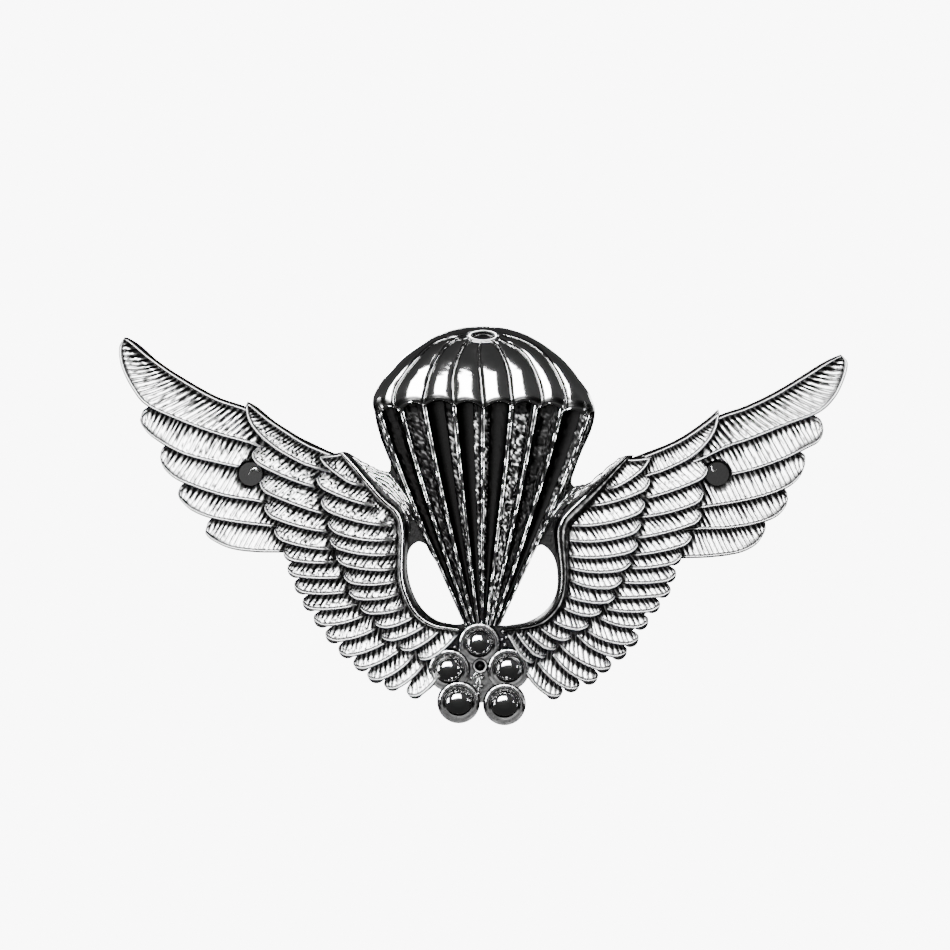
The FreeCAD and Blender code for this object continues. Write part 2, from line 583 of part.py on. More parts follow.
def post_solid(x):
    """A nail through the wing plate: peened head, neck, solder flange, root, grooved shank, point."""
    groove_start, groove_end = POST_GROOVE_Y
    cone_start, cone_length = Vector(x, POST_CONE_Y, 0), POST_TIP_Y - POST_CONE_Y
    cone = Part.makeCone(POST_RADIUS, POST_TIP_RADIUS, cone_length, cone_start, Vector(0, 1, 0))
    return joined([
        post_head(x),
        post_neck(x),
        rod(x, POST_FLANGE_RADIUS, 0, POST_FLANGE_Y),
        rod(x, POST_ROOT_RADIUS, POST_FLANGE_Y, POST_ROOT_Y),
        rod(x, POST_RADIUS, POST_ROOT_Y, groove_start),
        rod(x, POST_GROOVE_RADIUS, groove_start, groove_end),
        rod(x, POST_RADIUS, groove_end, POST_CONE_Y),
        cone,
    ])


def disc_solid(x):
    """The clutch's face that rests on the cloth, with a curled edge round the housing's flange."""
    face_end = CLUTCH_FACE_Y + DISC_THICKNESS
    curl_end = CLUTCH_FACE_Y + CURL_HEIGHT
    hollow = rod(x, DISC_RADIUS - CURL_WALL, face_end, curl_end)
    plate = rod(x, DISC_RADIUS, CLUTCH_FACE_Y, curl_end).cut(hollow)
    outer_length = 2 * math.pi * DISC_RADIUS
    outer_edges = [e for e in plate.Edges if abs(e.Length - outer_length) < EDGE_MATCH]
    rounded = plate.makeFillet(CURL_ROUND, outer_edges)
    return rounded.cut(rod(x, DISC_HOLE_RADIUS, CLUTCH_FACE_Y, face_end))


def housing_solid(x):
    """A flanged cup with a window on each side for the tabs."""
    start = CLUTCH_FACE_Y + DISC_THICKNESS
    outside = rod(x, HOUSING_RADIUS, start, HOUSING_END_Y)
    end_edges = [e for e in outside.Edges if e.BoundBox.YMin > HOUSING_END_Y - EDGE_MATCH]
    cup = outside.makeFillet(HOUSING_ROUND, end_edges)
    cup = cup.fuse(rod(x, HOUSING_FLANGE_RADIUS, start, start + HOUSING_WALL)).removeSplitter()
    cup = cup.cut(rod(x, HOUSING_RADIUS - HOUSING_WALL, start, HOUSING_END_Y - HOUSING_WALL))
    low, high = WINDOW_Y
    window = Part.makeBox(4 * HOUSING_RADIUS, high - low, 2 * WINDOW_HALF_WIDTH,
                          Vector(x - 2 * HOUSING_RADIUS, low, -WINDOW_HALF_WIDTH))
    return cup.cut(window)


def tab_solid(x, outward, level):
    """A squeeze tab: a flat tongue with an upturned lip. outward is +1 or -1 along X."""
    low = level - TAB_THICKNESS / 2
    bend = TAB_THICKNESS * (1 - math.sqrt(0.5))

    def at(distance, height):
        return Vector(x + outward * distance, low + height, -TAB_HALF_WIDTH)

    start, end, inside = TAB_INNER_END, TAB_OUTER_END, TAB_OUTER_END - TAB_THICKNESS
    flat, top = TAB_THICKNESS, TAB_LIP
    profile = Part.Wire([
        Part.makeLine(at(start, 0), at(inside, 0)),
        Part.Arc(at(inside, 0), at(end - bend, bend), at(end, flat)).toShape(),
        Part.makeLine(at(end, flat), at(end, top)),
        Part.makeLine(at(end, top), at(inside, top)),
        Part.makeLine(at(inside, top), at(inside, flat)),
        Part.makeLine(at(inside, flat), at(start, flat)),
        Part.makeLine(at(start, flat), at(start, 0)),
    ])
    tab = Part.Face(profile).extrude(Vector(0, 0, 2 * TAB_HALF_WIDTH))
    lip_edges = [e for e in tab.Edges if e.BoundBox.YMin > low + top - EDGE_MATCH]
    corners = [e for e in lip_edges if e.BoundBox.XLength > TAB_THICKNESS / 2]
    return tab.makeFillet(TAB_CORNER_RADIUS, corners)


def jaw_solid(x, outward, level):
    """A wire loop whose bar grips the post from the side away from its tab."""
    bar_x = x - outward * JAW_BAR_OFFSET
    arm = TAB_INNER_END + JAW_BAR_OFFSET
    bar_start = Vector(bar_x, level, -JAW_ARM_Z)
    parts = [Part.makeCylinder(JAW_WIRE_RADIUS, 2 * JAW_ARM_Z, bar_start, Vector(0, 0, 1))]
    for z in (-JAW_ARM_Z, JAW_ARM_Z):
        start = Vector(bar_x, level, z)
        parts.append(Part.makeCylinder(JAW_WIRE_RADIUS, arm, start, Vector(outward, 0, 0)))
        parts.append(Part.makeSphere(JAW_WIRE_RADIUS, start))
    return joined(parts)


def spring_solid(x):
    """A hairpin spring whose two upturned ends push the tabs apart."""
    low, high = SPRING_LEG_Z
    left, right = x - SPRING_LEG_X, x + SPRING_LEG_X

    def at(px, pz):
        return Vector(px, SPRING_Y, pz)

    path = Part.Wire([
        Part.makeLine(at(left, high), at(left, low)),
        Part.Arc(at(left, low), at(x, low - SPRING_LEG_X), at(right, low)).toShape(),
        Part.makeLine(at(right, low), at(right, high)),
    ])
    section = Part.Wire(Part.makeCircle(SPRING_WIRE_RADIUS, at(left, high), Vector(0, 0, 1)))
    hairpin = path.makePipeShell([section], True, False)
    ends = []
    for px in (left, right):
        ends.append(rod(px, SPRING_WIRE_RADIUS, SPRING_Y, SPRING_TOP_Y, high))
        ends.append(Part.makeSphere(SPRING_WIRE_RADIUS, at(px, high)))
    return joined([hairpin] + ends)


# The whole badge

def wing_nodes(side, centre, blossom):
    """The base plate and the three tiers of feathers of one wing."""
    tiers = feathers_of(side)
    flats = {name: [feather[0] for feather in tier] for name, tier in tiers.items()}
    post_x = AWAY[side] * POST_X
    field = polygon(WING_FIELD[side])
    outline = field.fuse(flats["primaries"] + flats["secondaries"] + flats["coverts"]).removeSplitter()
    plate = slab(outline, 0, PLATE_DEPTH)
    nodes = {"wing_plate": kept(plate.cut([centre, blossom, post_neck(post_x)]))}
    above = [centre, blossom]
    for name, depths in TIER_DEPTHS.items():
        tier = joined([shingle(feather, depths) for feather in tiers[name]])
        nodes[name] = kept(tier.cut(above + [post_head(post_x)]))
        above = above + [slab(flat, 0, CLEAR_DEPTH) for flat in flats[name]]
    return nodes


def badge_nodes():
    centre_outline = centre_face()
    centre = slab(centre_outline, 0, CLEAR_DEPTH)
    blossom = blossom_solid(0, CLEAR_DEPTH)
    nodes = {}
    for side in SIDES:
        for name, solid in wing_nodes(side, centre, blossom).items():
            nodes[side + "_" + name] = solid
        nodes[side + "_rim"] = kept(rim_solid(side).cut(blossom))
    openings = [slab(opening_face(side), 0, CLEAR_DEPTH) for side in SIDES]
    nodes["centre_plate"] = kept(slab(centre_outline, 0, PLATE_DEPTH).cut(openings + [blossom]))
    nodes["canopy"] = canopy_solid()
    nodes["vent_ring"] = vent_ring_solid()
    canopy_block = slab(above_hem(), 0, CLEAR_DEPTH)
    fan = slab(fan_face(), PLATE_DEPTH, FAN_DEPTH)
    nodes["fan_panel"] = kept(fan.cut([canopy_block, blossom]))
    fan_block = slab(fan_face(), 0, CLEAR_DEPTH)
    rims = [nodes[side + "_rim"] for side in SIDES]
    lines = [solid.common(fan_block).cut([canopy_block, blossom]) for solid in line_solids()]
    nodes["suspension_lines"] = kept(Part.makeCompound(lines))
    for side in SIDES:
        strands = joined(strand_solids(side)).common(centre)
        nodes[side + "_strands"] = kept(strands.cut([fan_block] + rims))
    nodes["blossom_plate"] = blossom_plate_solid()
    for index, centre_xz in enumerate(DOME_CENTRES):
        nodes["petal_dome_%d" % (index + 1)] = petal_dome(centre_xz)
    nodes["pistil"] = pistil_solid()
    stamens = [peg(c, STAMEN_RADIUS, BLOSSOM_DEPTH, STAMEN_DEPTH) for c in STAMEN_CENTRES]
    nodes["stamens"] = Part.makeCompound(stamens)
    return nodes


def clutch_nodes(side):
    """The post of one side and the seven pieces of its clutch."""
    away = AWAY[side]
    x = away * POST_X
    nodes = {
        "post": post_solid(x),
        "clutch_disc": disc_solid(x),
        "clutch_housing": housing_solid(x),
        "clutch_spring": spring_solid(x),
        "outer_tab": tab_solid(x, away, OUTER_JAW_Y),
        "outer_jaw": jaw_solid(x, away, OUTER_JAW_Y),
        "inner_tab": tab_solid(x, -away, INNER_JAW_Y),
        "inner_jaw": jaw_solid(x, -away, INNER_JAW_Y),
    }
    return {side + "_" + name: solid for name, solid in nodes.items()}


nodes = badge_nodes()
for side in SIDES:
    nodes.update(clutch_nodes(side))
for name, solid in nodes.items():
    solid.exportStep("parts/" + name + ".step")
    print(name, "solids", len(solid.Solids), "valid", solid.isValid(), "volume", round(solid.Volume, 2))
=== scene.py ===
import bmesh
import bpy
import math
import random
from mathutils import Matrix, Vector, kdtree, noise as perlin


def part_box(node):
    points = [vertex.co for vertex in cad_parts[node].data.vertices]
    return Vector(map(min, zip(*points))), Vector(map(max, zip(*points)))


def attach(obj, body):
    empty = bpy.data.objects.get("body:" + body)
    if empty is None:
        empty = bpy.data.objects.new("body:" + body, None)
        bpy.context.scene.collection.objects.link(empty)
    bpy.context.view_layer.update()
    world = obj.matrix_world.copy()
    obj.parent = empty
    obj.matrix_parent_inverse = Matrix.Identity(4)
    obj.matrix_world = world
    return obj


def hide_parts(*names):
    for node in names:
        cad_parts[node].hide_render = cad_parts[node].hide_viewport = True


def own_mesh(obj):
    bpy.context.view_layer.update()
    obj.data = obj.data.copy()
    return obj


# The badge is worn upright: X across, Z up, front towards -Y. Sizes below are millimetres in the
# frame's own axes, and MM turns them into metres. A depth is a distance forward from the flat back.
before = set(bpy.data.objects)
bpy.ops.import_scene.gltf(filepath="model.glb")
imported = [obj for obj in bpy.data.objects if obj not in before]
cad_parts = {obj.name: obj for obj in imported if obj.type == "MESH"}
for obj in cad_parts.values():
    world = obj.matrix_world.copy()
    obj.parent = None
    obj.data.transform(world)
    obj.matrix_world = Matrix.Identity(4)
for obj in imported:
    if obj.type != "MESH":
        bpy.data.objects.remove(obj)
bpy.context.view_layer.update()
MM = 0.001
SIDES = ("left", "right")


def depth_of(node):
    """How far a CAD node stands forward of the back plane, in mm."""
    return -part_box(node)[0].y / MM


PLATE = depth_of("centre_plate")
SEAT = PLATE - 0.06  # reliefs sink this little into the plate, so that no gap shows
FAN = depth_of("fan_panel")

# ---- outlines, x and z in mm

PRIMARIES = {
    "left": [
        ([(-21.5, 1.9), (-24, 3), (-27.5, 4), (-31, 5.3), (-34.6, 6.95), (-36.2, 8.8), (-37.3, 11.1),
          (-37.5, 13), (-36.95, 14.1)],
         [(-22, 4.6), (-23.2, 6), (-24.5, 6.95), (-27.5, 8), (-31, 9.95), (-34, 12), (-36.2, 13.8),
          (-36.95, 14.1)]),
        ([(-21.5, -0.4), (-24, 0.3), (-27.3, 1), (-31, 2), (-34, 3.7), (-35.1, 4.9), (-35.4, 5.6)],
         [(-21.5, 2.6), (-24, 3.5), (-29, 5.5), (-33, 7.2), (-34.9, 6.7), (-35.4, 5.6)]),
        ([(-21, -3.5), (-23.5, -2.9), (-27, -2.3), (-31, -0.9), (-32.6, 0.2), (-33.2, 1.2), (-33.3, 1.9)],
         [(-21, -0.2), (-23.5, 0.8), (-28, 2), (-31.5, 3.1), (-32.9, 2.9), (-33.3, 1.9)]),
        ([(-19.5, -5.9), (-22, -5.5), (-25, -5.15), (-28, -4.6), (-30, -3.8), (-31.2, -2.7), (-31.5, -2)],
         [(-19.5, -3.2), (-22, -2.6), (-26, -1.8), (-29.5, -0.7), (-31, -1), (-31.5, -2)]),
        ([(-18.4, -8.2), (-20.7, -8.1), (-23.5, -8.05), (-26, -7.7), (-27.8, -6.9), (-28.6, -6.2),
          (-28.6, -5.7)],
         [(-18.4, -5.4), (-20.7, -5), (-24, -4.6), (-27, -4.1), (-28.3, -4.8), (-28.6, -5.7)]),
    ],
    "right": [
        ([(20.5, 0.7), (22.8, 1.6), (25, 2.65), (27.4, 3.45), (31, 4.9), (34.3, 6.2), (36, 7.7), (37, 9.6),
          (37.4, 11.4), (36.7, 12.3)],
         [(21.7, 3.9), (23, 5.2), (24.4, 6.15), (27, 7.05), (30, 8.5), (33, 10.3), (35.3, 11.7),
          (36.7, 12.3)]),
        ([(21, -1.2), (23.5, -0.5), (25, -0.3), (28, 0.4), (31, 1.5), (33.2, 2.6), (34.4, 3.3), (34.95, 4.6)],
         [(21, 1.6), (23.5, 2.6), (28, 4.4), (32.5, 6), (34.3, 5.9), (34.95, 4.6)]),
        ([(20, -4.2), (22.5, -3.6), (25, -3.2), (28, -2.6), (30.9, -1.6), (32.4, -0.4), (33.05, 1)],
         [(20, -0.8), (22.5, 0.2), (27, 1.2), (31, 2.5), (32.9, 2.1), (33.05, 1)]),
        ([(19.3, -6.2), (21.7, -5.8), (25, -5.7), (28, -5.2), (30, -4.45), (31, -3.4), (31.3, -2.5)],
         [(19.5, -3.6), (22, -2.9), (26, -2.2), (29.5, -1.2), (31, -1.6), (31.3, -2.5)]),
        ([(18, -9), (20.3, -8.7), (23, -8.6), (26, -8.2), (27.8, -7.4), (28.7, -6.3), (29, -5.5)],
         [(18.6, -6), (21, -5.4), (25, -5), (28, -4.4), (28.9, -4.9), (29, -5.5)]),
    ],
}
TOP_SECONDARY = {
    "left": ([(-15.8, 0), (-17.7, 0.6), (-19, 1.1), (-21, 2.2), (-22.7, 3.5), (-24, 5), (-24.5, 6.6),
              (-24.3, 7.45)],
             [(-15, 2), (-18, 3.25), (-20, 4.45), (-22, 5.8), (-23.6, 7.1), (-24.3, 7.45)]),
    "right": ([(15.6, -0.7), (17.2, -0.2), (18.6, 0.25), (21, 1.4), (22.6, 2.7), (23.7, 4.2), (24.15, 5.8),
               (24.1, 6.65)],
              [(16, 1.9), (18, 2.7), (20.3, 3.8), (22.5, 5.3), (23.5, 6.1), (24.1, 6.65)]),
}
TOP_COVERT = {
    "left": ([(-12.3, -1.4), (-13.8, -1.05), (-15.3, -0.05), (-16.5, 1), (-17, 1.9)],
             [(-12, 0.2), (-14, 2.1), (-15.2, 2.15), (-17, 1.9)]),
    "right": ([(12.6, -1.7), (13.6, -1.5), (15.2, -0.6), (16.5, 0.5), (17.3, 1.9)],
              [(12.2, -0.2), (14.2, 1.6), (15.2, 1.7), (17.3, 1.9)]),
}
# Round-nosed feathers: tip x, tip z, root x and root z on the lower edge, half width, bow
SECONDARIES = {
    "left": [
        (-23.75, 2.3, -17.5, -1.5, 1, 0.25), (-22.95, -0.7, -16.3, -4.3, 1, 0.2),
        (-22.5, -3.2, -16.2, -6.1, 1, 0.3), (-21.5, -5.7, -16.2, -7.9, 0.95, 0.25),
        (-20.6, -7.9, -16.3, -9.3, 0.9, 0.15), (-20.2, -9.6, -14.8, -10.8, 0.85, 0.2),
        (-19.5, -11.3, -14.3, -12.3, 0.85, 0.25), (-18.65, -13.1, -13.5, -13.7, 0.8, 0.25),
        (-17.5, -14.8, -12.3, -14.7, 0.8, 0.4), (-16.3, -16.5, -11.3, -16.2, 0.8, 0.35),
        (-14.95, -18.1, -9.8, -17.3, 0.85, 0.35), (-13.4, -19.6, -8.5, -18.2, 0.8, 0.3),
        (-11.95, -20.8, -7.5, -19.2, 0.8, 0.4), (-10.2, -21.8, -6.3, -20, 0.8, 0.3),
        (-7.85, -22.6, -4.9, -21.3, 0.85, 0.2),
    ],
    "right": [
        (22.9, 0.7, 17, -2.6, 1, 0.2), (22.5, -1.8, 16.3, -4.6, 1, 0.3),
        (22.3, -4, 16.2, -6.7, 0.95, 0.2), (21.3, -6.3, 15.6, -8.5, 0.9, 0.2),
        (20.3, -8.2, 15, -9.85, 0.85, 0.25), (19.75, -10.1, 14.2, -11.3, 0.8, 0.25),
        (19.2, -11.8, 13.6, -12.9, 0.75, 0.1), (18.1, -13.3, 13.4, -14.2, 0.75, 0.2),
        (16.9, -15, 12.5, -15.3, 0.75, 0.35), (15.9, -16.8, 11.2, -16.7, 0.75, 0.4),
        (14.7, -18.2, 10.2, -17.4, 0.75, 0.45), (13.1, -19.7, 8.3, -18.3, 0.75, 0.4),
        (11.7, -20.9, 7.6, -19.5, 0.8, 0.4), (9.8, -21.8, 6, -20.3, 0.8, 0.3),
        (8, -22.6, 4.5, -20.9, 0.85, 0.3),
    ],
}
COVERTS = {
    "left": [
        (-17.1, -0.3, -12.2, -3.3, 0.95, 0.2), (-16.7, -2.6, -10.5, -5.45, 0.95, 0.35),
        (-16, -4.9, -10.1, -7, 0.9, 0.4), (-15.8, -6.6, -9.9, -8.5, 0.9, 0.35),
        (-15.15, -8.4, -9.7, -10, 0.85, 0.3), (-14.4, -10.4, -9.4, -11.3, 0.8, 0.3),
        (-13.9, -12.1, -9.2, -12.65, 0.75, 0.3), (-12.7, -13.7, -9, -14.2, 0.7, 0.2),
        (-11.2, -15.3, -7.1, -14.8, 0.75, 0.3), (-10.5, -16.7, -5.7, -15.5, 0.75, 0.35),
        (-8.6, -17.9, -4.5, -16.2, 0.7, 0.3), (-6.7, -18.9, -2.9, -16.9, 0.75, 0.25),
    ],
    "right": [
        (17, -0.5, 11.5, -3.4, 0.95, 0.3), (16.5, -2.9, 10, -5.5, 0.95, 0.4),
        (16.1, -5, 9.8, -7.1, 0.9, 0.4), (15.8, -7.1, 9.4, -8.7, 0.85, 0.35),
        (15.1, -9, 9.2, -9.95, 0.8, 0.4), (14.2, -10.8, 9.5, -11.4, 0.8, 0.4),
        (13.5, -12.5, 9, -12.9, 0.75, 0.3), (12.1, -14, 8.3, -14, 0.7, 0.3),
        (10.8, -15.4, 7.3, -15.4, 0.7, 0.3), (8.9, -16.8, 5.5, -15.7, 0.7, 0.3),
        (7.4, -17.9, 4.4, -16.4, 0.65, 0.2), (6.3, -18.8, 3.3, -16.5, 0.65, 0.2),
        (5.1, -19.35, 2.4, -16.7, 0.65, 0.15),
    ],
}
RIM_INNER = {
    "left": [(-14.2, 2.25), (-12.9, 1.15), (-11.6, -0.3), (-10, -2), (-8.6, -3.3), (-7.95, -4.8),
             (-7.8, -6.5), (-7.9, -10), (-7.4, -12), (-6.5, -13.7), (-5, -15), (-2.6, -15.55)],
    "right": [(14.3, 1.8), (12.9, 0.5), (11.4, -0.8), (10, -1.9), (8.5, -3.2), (7.5, -4.6),
              (7.2, -6.2), (7.6, -9.8), (7.5, -12), (6.7, -13.7), (5, -15.05), (2, -15.65)],
}
RIM_OUTER = {
    "left": [(-15, 2.1), (-13.2, -0.3), (-11, -3), (-9.5, -4.3), (-8.95, -5.8),
             (-9.1, -10), (-8.7, -12.4), (-7.6, -14.6), (-5.8, -15.9), (-2.6, -16.35)],
    "right": [(15.4, 1.95), (14, 0.2), (12.2, -2.2), (10.6, -4.1), (9.2, -5.4),
              (8.9, -7), (9, -10.5), (8.6, -13), (7.6, -14.7), (5.8, -15.9), (2, -16.35)],
}
# The canopy's seams, from the hem to the vent. The first and the last are its outline.
CANOPY_SEAMS = [
    [(-10.85, 6.2), (-11.4, 7.2), (-11.2, 8.4), (-10.2, 10), (-8, 12.25), (-5, 14.15), (-2.4, 15), (0, 15.2)],
    [(-8.6, 6.6), (-9.25, 7.3), (-9.1, 8.7), (-8.4, 9.9), (-7, 11.7), (-5, 13.5), (-1.85, 14.45)],
    [(-6.2, 7.1), (-6.05, 8.2), (-5.5, 10.2), (-4.7, 12), (-3.4, 13.5), (-1.6, 14)],
    [(-3, 7.1), (-3.15, 8.5), (-3.1, 10.3), (-2.6, 12), (-2, 13.2), (-1.1, 13.75)],
    [(-0.05, 6.8), (-0.2, 8.5), (-0.4, 10.6), (-0.5, 12.4), (-0.4, 13.2), (-0.3, 13.6)],
    [(2.9, 7.1), (2.75, 8.5), (2.5, 10.3), (2, 12), (1.3, 13.2), (0.6, 13.7)],
    [(5.7, 6.9), (5.95, 7.9), (5.6, 9.5), (4.9, 11.1), (3.9, 12.5), (1.4, 13.9)],
    [(8.2, 6.5), (8.45, 7.6), (7.9, 9.5), (6.9, 11.3), (5.4, 12.9), (3.8, 13.8), (1.65, 14.4)],
    [(10.75, 5.65), (11.4, 6.6), (11, 8), (10.2, 9.3), (8, 11.9), (5, 14), (2.4, 14.95), (0, 15.2)],
]
HEM_NODES = [(-10.8, 6.2), (-8.6, 6.7), (-6.2, 7), (-3.1, 7.1), (-0.1, 6.8), (2.9, 7.1), (5.4, 6.8),
             (8, 6.3), (10.7, 5.6)]
HEM_SCALLOP = 0.62
HEM_DROP = 0.22
LINE_FOOT_Z = -15.55
LINE_FOOT_SPAN = (-1.85, 1.5)
LINE_BOW = 0.4
FAN_EDGE = {
    "left": [(-10.3, 8), (-11, 7), (-11.25, 6.3), (-10.6, 3.6), (-9.8, 1.6), (-9.2, 0.4), (-7.9, -3),
             (-5.6, -8), (-4.15, -10.2), (-2.3, -14.3), (-2.05, -15.6)],
    "right": [(10.3, 8), (11, 6.8), (11.4, 5.8), (10.4, 3.2), (9.6, 1.2), (8.9, -0.8), (8.2, -2.8),
              (5.2, -7.8), (3.85, -10.2), (1.95, -14.3), (1.65, -15.6)],
}
# What fills each panel of the fan, from left to right: where it starts, how dark it is and its stippling
# Spans near black with little stippling are polished panels painted dark: a painted reflection of the dark
# room
PANEL_LOOKS = [
    [(0, 0.6, 0.8)],
    [(0, 0.95, 0.3), (0.75, 0.85, 0.6)],
    [(0, 0.78, 0.8)],
    [(0, 0.97, 0.02), (0.68, 0.65, 0.9)],
    [(0, 0.97, 0.02), (0.66, 0.45, 0.9), (0.86, 0.9, 0.2)],
    [(0, 0.45, 1), (0.3, 0.95, 0.1)],
    [(0, 0.85, 0.5), (0.2, 0.5, 1.2), (0.8, 0.85, 0.5)],
    [(0, 0.85, 0.6)],
    [(0, 0.96, 0.12), (0.72, 0.65, 0.8)],
    [(0, 0.6, 0.8)],
]
# Two guide lines a side, between which the crossing cords are laid
CORD_GUIDES = {
    "left": ([(-13.6, 1.75), (-12, 0.85), (-10.9, 0.3), (-9.7, -0.1), (-8.7, -1.4), (-7.6, -3), (-6.9, -4.4)],
             [(-13.3, 1.35), (-12.1, 0.1), (-10.7, -1.4), (-9.3, -2.5), (-8.3, -3.7), (-7.8, -4.9),
              (-7.6, -6)]),
    "right": ([(14.1, 1.65), (12.3, 0.15), (10.7, -1.1), (9.3, -1.5), (8.2, -2.7), (7.2, -4.1), (6.5, -5.6)],
              [(14, 1.2), (12.6, -0.1), (11, -1.35), (9.6, -2.2), (8.3, -3.4), (7.5, -4.6), (7, -6.1)]),
}
CORDS_ACROSS = 6
VENT = (-0.1, 14.2)

# ---- small tools

CURVE_STEPS = 12


def smooth(low, high, value):
    """0 below low, 1 above high, and a smooth step between."""
    t = min(1.0, max(0.0, (value - low) / (high - low)))
    return t * t * (3 - 2 * t)


def mix(a, b, t):
    return a + (b - a) * t


def centre_of(node_name):
    """The middle of a CAD node in the front view, in mm."""
    low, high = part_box(node_name)
    return (low.x + high.x) / 2 / MM, (low.z + high.z) / 2 / MM


def path_through(points):
    """A smooth curve through the points, as a function of 0 to 1 by its length."""
    pts = [Vector(p) for p in points]
    pts = [2 * pts[0] - pts[1]] + pts + [2 * pts[-1] - pts[-2]]
    fine = []
    for a, b, c, d in zip(pts, pts[1:], pts[2:], pts[3:]):
        for k in range(CURVE_STEPS):
            t = k / CURVE_STEPS
            square, cube = 2 * a - 5 * b + 4 * c - d, 3 * b - a - 3 * c + d
            fine.append(0.5 * (2 * b + (c - a) * t + square * t ** 2 + cube * t ** 3))
    fine.append(pts[-2])
    reach = [0.0]
    for a, b in zip(fine, fine[1:]):
        reach.append(reach[-1] + (b - a).length)

    def at(share):
        goal = min(1.0, max(0.0, share)) * reach[-1]
        low, high = 0, len(reach) - 1
        while high - low > 1:
            middle = (low + high) // 2
            low, high = (middle, high) if reach[middle] <= goal else (low, middle)
        span = reach[high] - reach[low]
        return fine[low].lerp(fine[high], (goal - reach[low]) / span if span else 0.0)

    at.length = reach[-1]
    return at


def tree_of(points):
    """A search tree over points of the front view."""
    tree = kdtree.KDTree(len(points))
    for index, p in enumerate(points):
        tree.insert((p.x, p.y, 0), index)
    tree.balance()
    return tree


# ---- closed shells

SIDE_DIRT = 0.8
# How dark a bar's flanks and back, turned away from the front, are painted: painted shade
FLANK_SHADE = 0.95
WELD_MM = 0.002
SLIVER_MM = 0.001


